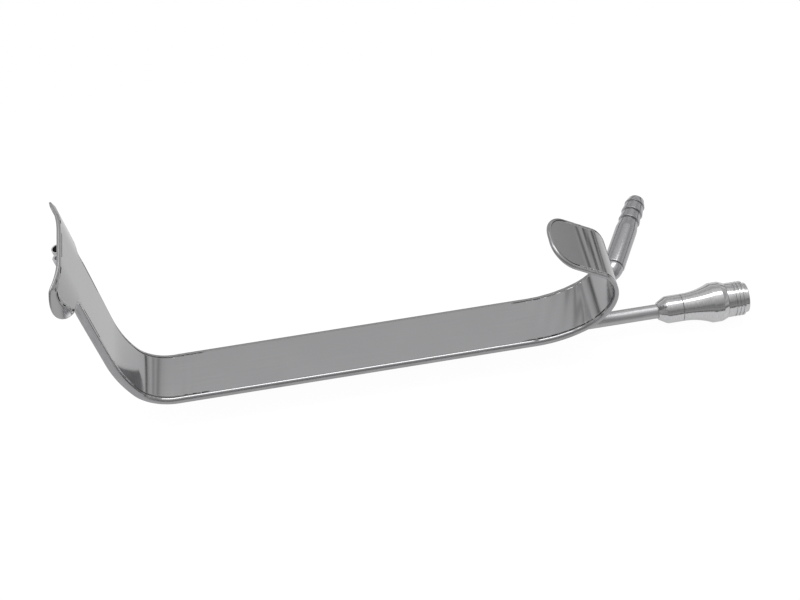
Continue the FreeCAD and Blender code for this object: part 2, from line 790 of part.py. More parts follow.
fill_sheet()
retractor_strip()
light_guide()
suction_line()
saddles()
connector_boss()
inlet_end()
flared_adapter()
end_adapter()
seal_middle = "Sizes.seal_fit + Sizes.seal_section"
seal_ring("inner_seal", f"{FLARE_START} + {seal_middle}", "Sizes.nipple_radius")
seal_ring("outer_seal", f"{FLARE_END} - ({seal_middle})",
          "Sizes.socket_radius - Sizes.thread_clearance")
check_and_write()
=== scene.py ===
"""Looks of a hand-held lighted retractor: a bent steel strip with a light guide and a suction tube.

The sizes in the classes are millimetres in the part's own frame, where the origin is the middle of the
handle's flat inner face, +X runs to the light connector, +Z up the blade and +Y to the hose barb.
Meshes are made in metres.
"""
import logging
import math
from dataclasses import dataclass, field, replace
from enum import Enum
from typing import Iterable, Optional, Sequence

import bpy
from mathutils import Matrix, Vector


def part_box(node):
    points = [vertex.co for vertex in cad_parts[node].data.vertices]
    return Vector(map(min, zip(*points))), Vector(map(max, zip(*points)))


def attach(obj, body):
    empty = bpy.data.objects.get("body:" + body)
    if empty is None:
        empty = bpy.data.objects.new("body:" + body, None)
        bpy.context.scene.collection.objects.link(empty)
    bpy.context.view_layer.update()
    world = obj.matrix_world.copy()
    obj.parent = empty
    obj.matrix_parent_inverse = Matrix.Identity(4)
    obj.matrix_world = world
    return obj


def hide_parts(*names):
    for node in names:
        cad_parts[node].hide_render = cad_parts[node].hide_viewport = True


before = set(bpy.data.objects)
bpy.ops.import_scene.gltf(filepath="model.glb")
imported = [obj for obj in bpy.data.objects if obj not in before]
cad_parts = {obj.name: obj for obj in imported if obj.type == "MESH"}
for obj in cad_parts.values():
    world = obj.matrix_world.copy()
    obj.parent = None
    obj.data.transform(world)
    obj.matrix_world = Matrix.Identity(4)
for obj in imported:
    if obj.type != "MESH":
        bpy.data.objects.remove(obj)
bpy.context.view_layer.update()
log = logging.getLogger("lighted_retractor")

MM = 0.001
SAME_MM = 1e-6  # Lengths closer than this are the same.
STRIP_MAP = "strip_map"
LATHE_MAP = "lathe_map"
TURN_ON_MAP = 1000.0  # Millimetres of the lathe map that one full turn takes up.
NOISE_LOW, NOISE_HIGH = 0.3, 0.7  # A noise texture mostly stays between these.


class MaterialSlot(Enum):
    """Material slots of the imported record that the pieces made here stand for."""

    STRIP = "forged_steel"
    TUBE = "polished_steel"
    TURNED = "turned_steel"


class Body(Enum):
    """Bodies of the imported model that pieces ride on."""

    RETRACTOR = "retractor"
    FLARED = "flared_adapter_turn"
    END = "end_adapter_turn"


def linear(hex_colour: str) -> tuple[float, float, float, float]:
    """Turns an sRGB hex colour into a linear one.

    Args:
        hex_colour: Six hex digits after a hash sign.

    Returns:
        Red, green, blue and an alpha of one.
    """
    parts = (int(hex_colour[i:i + 2], 16) / 255 for i in (1, 3, 5))
    red, green, blue = (v / 12.92 if v <= 0.04045 else ((v + 0.055) / 1.055) ** 2.4 for v in parts)
    return red, green, blue, 1.0


def add_node(
    tree: bpy.types.NodeTree,
    kind: str,
    settings: Optional[dict[str | int, object]] = None,
    links: Optional[dict[str | int, bpy.types.NodeSocket]] = None,
) -> bpy.types.Node:
    """Adds a node to a tree, with its settings and its incoming links.

    Args:
        tree: Node tree that gets the node.
        kind: Node type, such as ShaderNodeTexNoise.
        settings: Values by name of a property or, where there is none, by name or number of an input.
        links: Sockets that feed the node's inputs, by input name or number.

    Returns:
        The new node.
    """
    node = tree.nodes.new(kind)
    for name, value in (settings or {}).items():
        if isinstance(name, str) and name in node.bl_rna.properties:
            setattr(node, name, value)
        else:
            node.inputs[name].default_value = value
    for key, socket in (links or {}).items():
        tree.links.new(socket, node.inputs[key])
    return node


def shade_ramp(node: bpy.types.Node, stops: Sequence[tuple[float, str]]) -> bpy.types.Node:
    """Gives a colour ramp its stops.

    Args:
        node: Colour ramp node.
        stops: Pairs of position and sRGB hex colour, from low to high.

    Returns:
        The same node.
    """
    elements = node.color_ramp.elements
    while len(elements) < len(stops):
        elements.new(1.0)
    for element, (position, colour) in zip(elements, stops):
        element.position = position
        element.color = linear(colour)
    return node


def start_finish(
    name: str, settings: dict[str, float]
) -> tuple[bpy.types.Material, bpy.types.NodeTree, bpy.types.Node]:
    """Starts a finish, with the values that are the same all over set on the shader's own sockets.

    Args:
        name: Name of the material.
        settings: Values by name of a shader's input.

    Returns:
        The material, its node tree and its Principled shader.
    """
    made = bpy.data.materials.new(name)
    made.use_nodes = True
    shader = made.node_tree.nodes["Principled BSDF"]
    for socket, value in settings.items():
        shader.inputs[socket].default_value = value
    return made, made.node_tree, shader


def feed_pattern(
    tree: bpy.types.NodeTree,
    shader: bpy.types.Node,
    pattern: bpy.types.NodeSocket,
    stops: Sequence[tuple[float, str]],
    height_mm: float,
) -> None:
    """Feeds a shader's colour and its surface relief from one pattern.

    Args:
        tree: Node tree of the finish.
        shader: Its Principled shader.
        pattern: Socket that gives the pattern.
        stops: Pairs of pattern value and sRGB hex colour, from low to high.
        height_mm: Height of the relief, zero for none.
    """
    tone = shade_ramp(add_node(tree, "ShaderNodeValToRGB", None, {0: pattern}), stops)
    tree.links.new(tone.outputs[0], shader.inputs["Base Color"])
    if height_mm:
        relief = add_node(
            tree, "ShaderNodeBump", {"Strength": 1.0, "Distance": height_mm * MM}, {"Height": pattern})
        tree.links.new(relief.outputs[0], shader.inputs["Normal"])


@dataclass(frozen=True)
class GroundSteel:
    """Hardened stainless steel, belt ground along the strip and then mopped to a soft mirror.

    The belt leaves fine lines along the strip, which the mop softens, so reflections are clear but
    drawn out a little, and the wheel's passes leave faint cloudy patches. The lines of a fine belt are
    about 0.06 mm wide, too fine to show, so they are drawn wider.
    """

    name: str = "ground_stainless_strip"
    colour: str = "#A9A9AA"
    dull_colour: str = "#A5A5A7"
    gloss: float = 0.13
    haze: float = 0.04
    line_width_mm: float = 0.35
    line_length_mm: float = 30.0
    line_height_mm: float = 0.0002
    patch_mm: float = 14.0
    cloud_low: float = 0.4
    cloud_high: float = 1.1

    def material(self) -> bpy.types.Material:
        """Builds the material on the mesh's own map, which runs in metres along and across the strip.

        Returns:
            The finish.
        """
        made, tree, shader = start_finish(self.name, {"Metallic": 1.0})
        where = add_node(tree, "ShaderNodeUVMap", {"uv_map": STRIP_MAP})
        lines_scale = (1 / (self.line_length_mm * MM), 1 / (self.line_width_mm * MM), 1.0)
        stretched = add_node(
            tree, "ShaderNodeMapping", {"Scale": lines_scale}, {"Vector": where.outputs[0]})
        lines = add_node(
            tree, "ShaderNodeTexNoise", {"Scale": 1.0, "Detail": 3.0, "Roughness": 0.6},
            {"Vector": stretched.outputs[0]})
        patches = add_node(
            tree, "ShaderNodeTexNoise", {"Scale": 1 / (self.patch_mm * MM), "Detail": 2.0},
            {"Vector": where.outputs[0]})
        # Lines times patches plus patches mostly stays between cloud_low and cloud_high.
        both = add_node(
            tree, "ShaderNodeMath", {"operation": "MULTIPLY_ADD"},
            {0: lines.outputs[0], 1: patches.outputs[0], 2: patches.outputs[0]})
        rough = add_node(
            tree, "ShaderNodeMapRange",
            {"From Min": self.cloud_low, "From Max": self.cloud_high, "To Min": self.gloss,
             "To Max": self.gloss + self.haze},
            {"Value": both.outputs[0]})
        tree.links.new(rough.outputs[0], shader.inputs["Roughness"])
        feed_pattern(
            tree, shader, lines.outputs[0],
            [(NOISE_LOW, self.dull_colour), (NOISE_HIGH, self.colour)], self.line_height_mm)
        return made


@dataclass(frozen=True)
class BeltedEdge:
    """The strip's edges, drawn round on a belt after the faces were mopped.

    The belt's scratches run along the edge, so the edge is duller than the faces. Its darker grey is
    painted shade, the shade on the strip's flank. The scratches are drawn wider than their real 0.06 mm,
    to show.
    """

    name: str = "belted_edge_painted_shade"
    colour: str = "#B0B0B2"
    # Dark end of the scratches, which also paints the shade on the flank.
    dark_colour: str = "#9A9A9C"
    gloss: float = 0.34
    haze: float = 0.1
    line_width_mm: float = 0.15
    line_length_mm: float = 8.0
    line_height_mm: float = 0.0006

    def material(self) -> bpy.types.Material:
        """Builds the material on the mesh's own map, with the scratches along the edge.

        Returns:
            The finish.
        """
        made, tree, shader = start_finish(self.name, {"Metallic": 1.0})
        where = add_node(tree, "ShaderNodeUVMap", {"uv_map": STRIP_MAP})
        lines_scale = (1 / (self.line_length_mm * MM), 1 / (self.line_width_mm * MM), 1.0)
        stretched = add_node(
            tree, "ShaderNodeMapping", {"Scale": lines_scale}, {"Vector": where.outputs[0]})
        lines = add_node(
            tree, "ShaderNodeTexNoise", {"Scale": 1.0, "Detail": 3.0}, {"Vector": stretched.outputs[0]})
        rough = add_node(
            tree, "ShaderNodeMapRange",
            {"From Min": NOISE_LOW, "From Max": NOISE_HIGH, "To Min": self.gloss,
             "To Max": self.gloss + self.haze},
            {"Value": lines.outputs[0]})
        tree.links.new(rough.outputs[0], shader.inputs["Roughness"])
        # The scratches run from the dark grey to the light one; the darker grey of the edge is painted
        # shade.
        feed_pattern(
            tree, shader, lines.outputs[0],
            [(NOISE_LOW, self.dark_colour), (NOISE_HIGH, self.colour)], self.line_height_mm)
        return made


@dataclass(frozen=True)
class DrawnSteel:
    """Austenitic stainless tube, drawn through a die and tumble polished.

    The die leaves faint lines along the tube and the tumbling a fine haze, so its highlight is a soft
    streak. The real lines are narrower than 0.1 mm, too fine to show, so they are drawn wider.
    """

    name: str = "drawn_stainless_tube"
    colour: str = "#C2C2C3"
    dull_colour: str = "#B6B6B8"
    gloss: float = 0.42
    haze: float = 0.08
    line_width_mm: float = 0.3
    line_length_mm: float = 9.0
    line_height_mm: float = 0.0006

    def material(self) -> bpy.types.Material:
        """Builds the material with its lines along X, the way the tubes run under the handle.

        Returns:
            The finish.
        """
        made, tree, shader = start_finish(self.name, {"Metallic": 1.0})
        where = add_node(tree, "ShaderNodeTexCoord")
        across = 1 / (self.line_width_mm * MM)
        stretched = add_node(
            tree, "ShaderNodeMapping", {"Scale": (1 / (self.line_length_mm * MM), across, across)},
            {"Vector": where.outputs["Object"]})
        lines = add_node(
            tree, "ShaderNodeTexNoise", {"Scale": 1.0, "Detail": 2.0}, {"Vector": stretched.outputs[0]})
        rough = add_node(
            tree, "ShaderNodeMapRange",
            {"From Min": NOISE_LOW, "From Max": NOISE_HIGH, "To Min": self.gloss,
             "To Max": self.gloss + self.haze},
            {"Value": lines.outputs[0]})
        tree.links.new(rough.outputs[0], shader.inputs["Roughness"])
        feed_pattern(
            tree, shader, lines.outputs[0],
            [(NOISE_LOW, self.dull_colour), (NOISE_HIGH, self.colour)], self.line_height_mm)
        return made


@dataclass(frozen=True)
class TurnedSteel:
    """Free-cutting stainless steel, turned on a lathe and bright polished.

    The tool's feed leaves fine rings round the axis. The real feed of about 0.08 mm is too fine to show,
    so the rings are drawn coarser.
    """

    name: str = "turned_stainless"
    colour: str = "#D2D2D3"
    dull_colour: str = "#C0C0C2"
    gloss: float = 0.12
    haze: float = 0.08
    ring_mm: float = 0.3
    ring_height_mm: float = 0.0007
    breaks_per_turn: float = 20.0

    def material(self) -> bpy.types.Material:
        """Builds the material on the mesh's own map, whose first axis follows the turned outline.

        Returns:
            The finish.
        """
        made, tree, shader = start_finish(self.name, {"Metallic": 1.0})
        where = add_node(tree, "ShaderNodeUVMap", {"uv_map": LATHE_MAP})
        stretched = add_node(
            tree, "ShaderNodeMapping", {"Scale": (1 / (self.ring_mm * MM), self.breaks_per_turn, 1.0)},
            {"Vector": where.outputs[0]})
        rings = add_node(
            tree, "ShaderNodeTexNoise", {"Scale": 1.0, "Detail": 2.0}, {"Vector": stretched.outputs[0]})
        rough = add_node(
            tree, "ShaderNodeMapRange",
            {"From Min": NOISE_LOW, "From Max": NOISE_HIGH, "To Min": self.gloss,
             "To Max": self.gloss + self.haze},
            {"Value": rings.outputs[0]})
        tree.links.new(rough.outputs[0], shader.inputs["Roughness"])
        feed_pattern(
            tree, shader, rings.outputs[0],
            [(NOISE_LOW, self.dull_colour), (NOISE_HIGH, self.colour)], self.ring_height_mm)
        return made


@dataclass(frozen=True)
class PickledSteel:
    """Stainless steel that was brazed, pickled and bead blasted, so it is pale, grainy and matt."""

    name: str = "pickled_stainless"
    colour: str = "#B9B9B8"
    dark_colour: str = "#9D9D9C"
    gloss: float = 0.42
    grain_mm: float = 0.25
    grain_height_mm: float = 0.012

    def material(self) -> bpy.types.Material:
        """Builds the material with the beads' dents, a little coarser than real so that they show.

        Returns:
            The finish.
        """
        made, tree, shader = start_finish(self.name, {"Metallic": 1.0, "Roughness": self.gloss})
        where = add_node(tree, "ShaderNodeTexCoord")
        grain = add_node(
            tree, "ShaderNodeTexVoronoi", {"Scale": 1 / (self.grain_mm * MM)},
            {"Vector": where.outputs["Object"]})
        feed_pattern(
            tree, shader, grain.outputs["Distance"],
            [(0.0, self.dark_colour), (0.6, self.colour)], self.grain_height_mm)
        return made


@dataclass(frozen=True)
class SilverBraze:
    """Silver brazing alloy, run into the joint and wiped clean: a little warmer and softer than steel."""

    name: str = "silver_braze"
    colour: str = "#CFC9BD"
    dull_colour: str = "#B3AEA4"
    gloss: float = 0.3
    ripple_mm: float = 1.2
    ripple_height_mm: float = 0.02

    def material(self) -> bpy.types.Material:
        """Builds the material with the slow ripples of metal that has run and set.

        Returns:
            The finish.
        """
        made, tree, shader = start_finish(self.name, {"Metallic": 1.0, "Roughness": self.gloss})
        where = add_node(tree, "ShaderNodeTexCoord")
        ripples = add_node(
            tree, "ShaderNodeTexNoise", {"Scale": 1 / (self.ripple_mm * MM), "Detail": 1.0},
            {"Vector": where.outputs["Object"]})
        feed_pattern(
            tree, shader, ripples.outputs[0],
            [(0.35, self.dull_colour), (0.6, self.colour)], self.ripple_height_mm)
        return made


@dataclass(frozen=True)
class FibreFace:
    """Glass fibres bonded in clear resin, with their ends ground and polished flat.

    With no light behind them the ends look like dull grey grains in a dark resin. Real fibres are
    0.05 mm, too fine to show, so they are drawn thicker.
    """

    name: str = "polished_fibre_ends"
    glass: str = "#6C7370"
    resin: str = "#262A28"
    fibre_mm: float = 0.13
    gloss: float = 0.08
    ior: float = 1.52

    def material(self) -> bpy.types.Material:
        """Builds the material with the packed fibre ends.

        Returns:
            The finish.
        """
        made, tree, shader = start_finish(self.name, {"Roughness": self.gloss, "IOR": self.ior})
        where = add_node(tree, "ShaderNodeTexCoord")
        ends = add_node(
            tree, "ShaderNodeTexVoronoi", {"Scale": 1 / (self.fibre_mm * MM)},
            {"Vector": where.outputs["Object"]})
        feed_pattern(
            tree, shader, ends.outputs["Distance"], [(0.45, self.glass), (0.7, self.resin)], 0.0)
        return made


@dataclass(frozen=True)
class SealRubber:
    """Black nitrile rubber, moulded with a satin skin."""

    name: str = "moulded_nitrile"
    colour: str = "#1B1B1C"
    pale_colour: str = "#2A2A2B"
    gloss: float = 0.55
    mottle_mm: float = 0.8
    ior: float = 1.52

    def material(self) -> bpy.types.Material:
        """Builds the material with the faint mottling of a moulded skin.

        Returns:
            The finish.
        """
        made, tree, shader = start_finish(self.name, {"Roughness": self.gloss, "IOR": self.ior})
        where = add_node(tree, "ShaderNodeTexCoord")
        mottle = add_node(
            tree, "ShaderNodeTexNoise", {"Scale": 1 / (self.mottle_mm * MM)},
            {"Vector": where.outputs["Object"]})
        feed_pattern(
            tree, shader, mottle.outputs[0], [(0.35, self.colour), (0.65, self.pale_colour)], 0.0)
        return made


def dress(
    piece: bpy.types.Object, finish: bpy.types.Material, slot: Optional[MaterialSlot] = None
) -> None:
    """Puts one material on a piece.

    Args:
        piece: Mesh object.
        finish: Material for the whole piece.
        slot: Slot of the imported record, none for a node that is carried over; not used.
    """
    piece.data.materials.clear()
    piece.data.materials.append(finish)


def smooth(piece: bpy.types.Object, sharp_degrees: Optional[float] = None) -> None:
    """Shades a mesh smooth, with edges kept sharp above an angle where one is given.

    Args:
        piece: Mesh object.
        sharp_degrees: Angle between faces above which an edge stays sharp.
    """
    piece.data.shade_smooth()
    if sharp_degrees is not None:
        piece.data.set_sharp_from_angle(angle=math.radians(sharp_degrees))


def mesh_piece(
    name: str,
    points: Iterable[Vector],
    faces: Iterable[Sequence[int]],
    mapping: Optional[tuple[str, Sequence[tuple[float, float]]]] = None,
) -> bpy.types.Object:
    """Makes a mesh object from points in millimetres.

    Args:
        name: Name of the object and its mesh.
        points: Corners in the part's frame.
        faces: Corner numbers of each face.
        mapping: Name of a map and one pair of millimetres for each corner.

    Returns:
        The linked object, shaded smooth.
    """
    mesh = bpy.data.meshes.new(name)
    mesh.from_pydata([Vector(p) * MM for p in points], [], [tuple(f) for f in faces])
    if mapping:
        layer = mesh.uv_layers.new(name=mapping[0])
        for loop in mesh.loops:
            u, v = mapping[1][loop.vertex_index]
            layer.data[loop.index].uv = (u * MM, v * MM)
    mesh.validate()
    mesh.update()
    piece = bpy.data.objects.new(name, mesh)
    bpy.context.scene.collection.objects.link(piece)
    smooth(piece)
    return piece


def ease(value: float, low: float, high: float) -> float:
    """Smooth step.

    Args:
        value: Where the step is wanted.
        low: Where it leaves zero.
        high: Where it reaches one.

    Returns:
        Height of the step, from zero to one.
    """
    share = min(1.0, max(0.0, (value - low) / (high - low)))
    return share * share * (3 - 2 * share)


def swell(value: float, rise_start: float, rise_end: float, fall_start: float, fall_end: float) -> float:
    """Smooth swell from zero to one and back.

    Args:
        value: Where the swell is wanted.
        rise_start: Where it begins.
        rise_end: Where it reaches one.
        fall_start: Where it begins to fall.
        fall_end: Where it is back at zero.

    Returns:
        Height of the swell, from zero to one.
    """
    return ease(value, rise_start, rise_end) * (1 - ease(value, fall_start, fall_end))


@dataclass(frozen=True)
class Ripple:
    """Slight waves that hammer and belt leave across the strip's inner or outer face.

    They are a few hundredths of a millimetre deep and show only as streaks in the reflections.
    """

    start: float
    end: float
    pitch: float
    depth: float
    slant: float = 0.0
    outer: bool = False
    rows_per_wave: int = 9

    def height(self, distance: float, side: float) -> float:
        """Height of the waves at one spot.

        Args:
            distance: Length along the inner face from the tongue's end.
            side: Distance from the middle plane.

        Returns:
            Height in millimetres, away from the inner face.
        """
        phase = 2 * math.pi * (distance - self.start + self.slant * side) / self.pitch
        fade = (self.end - self.start) / 4
        return self.depth * math.sin(phase) * swell(
            distance, self.start, self.start + fade, self.end - fade, self.end)

    def stops(self) -> list[float]:
        """Distances that are close enough together to draw the waves."""
        count = math.ceil((self.end - self.start) / (self.pitch / self.rows_per_wave))
        return [self.start + (self.end - self.start) * i / count for i in range(count + 1)]


@dataclass(frozen=True)
class PathPiece:
    """Straight run or arc of the path, with a heading in degrees and, for a run, a radius of zero."""

    start: float
    point: Vector
    heading: float
    radius: float

    def at(self, run: float) -> tuple[Vector, Vector]:
        """Point and back direction at a distance into the piece.

        Args:
            run: Distance from the start of the piece.

        Returns:
            The point and the unit vector out of the strip's back.
        """
        angle = math.radians(self.heading)
        back = Vector((-math.sin(angle), math.cos(angle)))
        if self.radius == 0:
            return self.point + Vector((math.cos(angle), math.sin(angle))) * run, back
        centre = self.point - back * self.radius
        turned = angle - run / self.radius
        back = Vector((-math.sin(turned), math.cos(turned)))
        return centre + back * self.radius, back


@dataclass
class StripPath:
    """Side view of the strip's inner face, from the tongue's end over the handle to the blade's top.

    Each bend is a pair of inner radius and turn in degrees.
    """

    handle_length: float = 127.3
    heel: tuple[float, float] = (12.9, 67.4)
    instep: tuple[float, float] = (60.8, 18.6)
    hook_rise: tuple[float, float] = (33.3, 31.0)
    hook_back: tuple[float, float] = (18.85, 90.0)
    hook_top: tuple[float, float] = (6.0, 23.1)
    hook_thinning: tuple[float, float] = (2.2, 0.35)
    tongue_length: float = 21.55
    blade_height: float = 53.9
    pieces: list[PathPiece] = field(default_factory=list)
    length: float = 0.0

    def __post_init__(self) -> None:
        """Works out where each run and arc starts."""
        bends = (self.hook_top, self.hook_back, self.hook_rise)
        heading = 180 + sum(turn for _, turn in bends)
        steps = [(self.tongue_length, 0.0), *bends, (self.handle_length, 0.0),
                 self.heel, self.instep, (self.blade_height, 0.0)]
        point = Vector((0.0, 0.0))
        handle_start = point
        for reach, turn in steps:
            if (reach, turn) == (self.handle_length, 0.0):
                handle_start = point
            piece = PathPiece(self.length, point, heading, 0.0 if turn == 0 else reach)
            run = reach if turn == 0 else reach * math.radians(turn)
            self.pieces.append(piece)
            self.length += run
            point, _ = piece.at(run)
            heading -= turn
        shift = Vector((self.handle_length / 2, 0.0)) - handle_start
        self.pieces = [replace(piece, point=piece.point + shift) for piece in self.pieces]

    def piece_at(self, distance: float) -> PathPiece:
        """Run or arc that a distance along the path falls in.

        Args:
            distance: Length along the inner face from the tongue's end.

        Returns:
            The run or arc.
        """
        found = self.pieces[0]
        for piece in self.pieces:
            if piece.start <= distance:
                found = piece
        return found

    def place(self, distance: float, side: float, depth: float) -> Vector:
        """Point of the part's frame at a distance along, a distance to the side, and a depth.

        Args:
            distance: Length along the inner face from the tongue's end.
            side: Distance from the middle plane.
            depth: Depth behind the inner face.

        Returns:
            The point in millimetres.
        """
        piece = self.piece_at(distance)
        point, back = piece.at(distance - piece.start)
        spot = point + back * depth
        return Vector((spot.x, side, spot.y))

    def thinning(self, distance: float) -> float:
        """How much thinner the hook is than the handle, because its inner arcs are the larger ones.

        Args:
            distance: Length along the inner face from the tongue's end.

        Returns:
            The thickness that is missing, in millimetres.
        """
        piece = self.piece_at(distance)
        inside = (distance - piece.start) / piece.radius if piece.radius else 0.0
        turned = max(0.0, math.radians(piece.heading - 180) - inside)
        low = 0.0
        shift = Vector((0.0, 0.0))
        for gain, (_, turn) in zip(self.hook_thinning, (self.hook_rise, self.hook_back)):
            high = min(turned, low + math.radians(turn))
            shift += gain * Vector((math.sin(high) - math.sin(low), math.cos(low) - math.cos(high)))
            low = high
        return shift.x * math.sin(turned) - shift.y * math.cos(turned)

    def blade_foot(self) -> float:
        """Distance along the path at which the blade's straight run starts."""
        return self.pieces[-1].start

    def stops(self, step_degrees: float, step_mm: float) -> list[float]:
        """Distances along the path that are close enough together for smooth bends.

        Args:
            step_degrees: Largest turn between two stops in a bend.
            step_mm: Largest distance between two stops on a run.

        Returns:
            Sorted distances from zero to the path's length.
        """
        found = [0.0]
        ends = [piece.start for piece in self.pieces[1:]] + [self.length]
        for piece, end in zip(self.pieces, ends):
            span = end - piece.start
            step = math.radians(step_degrees) * piece.radius if piece.radius else step_mm
            count = max(1, math.ceil(span / step))
            found += [piece.start + span * (i + 1) / count for i in range(count)]
        return found


@dataclass(frozen=True)
class RimSpot:
    """Point of the strip's flat outline, with the way into the metal and the share of the wing's bevel."""

    along: float
    side: float
    inward: tuple[float, float]
    bevel: float = 0.0


def spread(start: float, end: float, steps: int) -> list[float]:
    """Evenly spread values.

    Args:
        start: First value.
        end: Last value.
        steps: Number of steps between them.

    Returns:
        The values, one more than the steps.
    """
    return [start + (end - start) * i / steps for i in range(steps + 1)]


def rim_arc(
    centre: tuple[float, float],
    radius: float,
    turns: Sequence[float],
    bevels: Optional[Sequence[float]] = None,
    hollow: bool = False,
) -> list[RimSpot]:
    """Points along an arc of the strip's flat outline.

    Args:
        centre: Distance along and distance to the side of the arc's centre.
        radius: Radius of the arc.
        turns: Angle of each point in radians, from the way along towards the side.
        bevels: Share of the wing's bevel at each point, none where it isn't given.
        hollow: Whether the arc's centre lies outside the metal.

    Returns:
        The points.
    """
    found = []
    for turn, bevel in zip(turns, bevels or [0.0] * len(turns)):
        way = (math.cos(turn), math.sin(turn))
        inward = way if hollow else (-way[0], -way[1])
        found.append(RimSpot(centre[0] + radius * way[0], centre[1] + radius * way[1], inward, bevel))
    return found


@dataclass
class RetractorStrip:
    """Blade with winged tip, handle, finger hook and tongue, forged and ground from one strip."""

    path: StripPath = field(default_factory=StripPath)
    width: float = 20.0
    thick: float = 3.0
    tip_thick: float = 1.3
    edge_round: float = 1.1
    round_share: float = 0.45
    tongue_corner: float = 8.6
    tongue_flare: float = 0.065
    flare_run: tuple[float, float] = (24.0, 44.0)
    heel_dish: float = 0.3
    heel_run: tuple[float, float, float, float] = (196.0, 205.0, 216.0, 232.0)
    thin_start: float = 33.5
    thin_end: float = 39.5
    curl_start: float = 33.0
    curl_end: float = 38.0
    flat_half: float = 6.0
    curl_radius: float = 29.3
    wing_height: float = 46.5
    wing_side: float = 10.1
    wing_round: float = 10.7
    notch_round: float = 1.0
    top_corner: float = 2.2
    bevel_width: float = 3.5
    bevel_depth: float = 0.5
    bevel_fall: float = 0.3
    top_fall: float = 0.15
    top_bare: float = 0.35
    crease_width: float = 0.5
    crease_depth: float = 0.1
    blade_flare: float = 0.07
    blade_run: tuple[float, float, float, float] = (-8.0, 32.0, 33.0, 40.0)
    ripples: tuple[Ripple, ...] = (
        Ripple(12.0, 22.0, 3.6, 0.05, slant=0.05, outer=True),
        Ripple(15.0, 22.0, 2.1, 0.02, slant=-0.04, outer=True),
        Ripple(50.0, 64.0, 4.6, 0.035, slant=0.35),
        Ripple(60.0, 74.0, 5.2, 0.035, slant=0.45),
        Ripple(190.0, 203.0, 3.2, 0.03, slant=0.08),
    )
    columns: int = 26
    rim_steps: int = 7
    bevel_steps: int = 5
    support: float = 0.25
    ring_support: float = 0.6
    corner_steps: int = 24
    bend_step_degrees: float = 2.5
    run_step: float = 6.0
    row_gap: float = 0.15
    notch_gap: float = 0.5
    notch_steps: int = 8
    lobe_steps: int = 48
    bevel_rise_steps: int = 22
    bevel_fall_step: int = 30
    top_steps: int = 9

    def outline(self) -> list[RimSpot]:
        """Half outline of the strip, rolled out flat, from the tongue's end to the blade's top.

        Returns:
            The outline's points.
        """
        half = self.width / 2
        corner = self.tongue_corner
        found = rim_arc(
            (corner, half - corner), corner, spread(math.pi, math.pi / 2, self.corner_steps))
        foot = self.path.blade_foot()
        lobe = (foot + self.wing_height, self.wing_side)
        beside = half + self.notch_round
        reach = self.wing_round + self.notch_round
        notch = (lobe[0] - math.sqrt(reach ** 2 - (beside - lobe[1]) ** 2), beside)
        stops = set(self.path.stops(self.bend_step_degrees, self.run_step))
        for stop in sorted(stops.union(*(ripple.stops() for ripple in self.ripples))):
            if found[-1].along + self.row_gap < stop < notch[0] - self.notch_gap:
                found.append(RimSpot(stop, half, (0.0, -1.0)))
        meeting = math.atan2(lobe[1] - notch[1], lobe[0] - notch[0])
        turns = spread(-math.pi / 2, meeting, self.notch_steps)
        found += rim_arc(notch, self.notch_round, turns, hollow=True)

        rise = foot + self.path.blade_height - self.top_corner - lobe[0]
        inner = self.wing_round - self.top_corner
        fillet = (lobe[0] + rise, lobe[1] + math.sqrt(inner ** 2 - rise ** 2))
        first = math.atan2(found[-1].side - lobe[1], found[-1].along - lobe[0])
        last = math.atan2(fillet[1] - lobe[1], fillet[0] - lobe[0])
        bevels = [ease(i, 0, self.bevel_rise_steps)
                  * (1 - self.bevel_fall * ease(i, self.bevel_fall_step, self.lobe_steps))
                  for i in range(self.lobe_steps + 1)]
        found += rim_arc(lobe, self.wing_round, spread(first, last, self.lobe_steps), bevels)[1:]
        bevels = spread(1 - self.bevel_fall, 1 - self.bevel_fall - self.top_fall, self.top_steps)
        found += rim_arc(fillet, self.top_corner, spread(last, 0.0, self.top_steps), bevels)[1:]
        return found

    def thickness(self, distance: float) -> float:
        """Thickness of the strip, which is less in the hook and at the blade's tip.

        Args:
            distance: Length along the inner face from the tongue's end.

        Returns:
            Thickness in millimetres.
        """
        height = distance - self.path.blade_foot()
        share = ease(height, self.thin_start, self.thin_end)
        return self.thick - self.path.thinning(distance) + (self.tip_thick - self.thick) * share

    def place(self, distance: float, side: float, level: float) -> Vector:
        """Point of the strip, with a wider tongue, a dished heel and the blade's sides curled back.

        Args:
            distance: Length along the inner face from the tongue's end.
            side: Distance from the middle plane in the flat outline.
            level: Depth behind the inner face.

        Returns:
            The point in millimetres.
        """
        height = distance - self.path.blade_foot()
        side *= 1 + self.tongue_flare * (1 - ease(distance, *self.flare_run))
        side *= 1 + self.blade_flare * swell(height, *self.blade_run)
        bent = swell(distance, *self.heel_run)
        level += self.heel_dish * bent * (2 * side / self.width) ** 2 * (1 - level / self.thick)
        outward = level / self.thick
        for ripple in self.ripples:
            level += ripple.height(distance, side) * (outward if ripple.outer else 1 - outward)
        share = ease(height, self.curl_start, self.curl_end)
        beyond = abs(side) - self.flat_half
        if share == 0 or beyond <= 0:
            return self.path.place(distance, side, level)
        angle = math.asin(beyond / self.curl_radius)
        inner = self.curl_radius - level
        curled = self.flat_half + inner * math.sin(angle)
        depth = self.curl_radius - inner * math.cos(angle)
        across = abs(side) + (curled - abs(side)) * share
        return self.path.place(distance, math.copysign(across, side), level + (depth - level) * share)

    def bevel(self, thick: float, share: float) -> tuple[float, float]:
        """Depth of the wing's bevel at the edge, and the rounding that the thinner edge has room for.

        Args:
            thick: Thickness of the strip there.
            share: Share of the bevel there.

        Returns:
            Depth and radius in millimetres.
        """
        drop = self.bevel_depth * min(1.0, 2 * share)
        return drop, min(self.edge_round, self.round_share * (thick - drop))

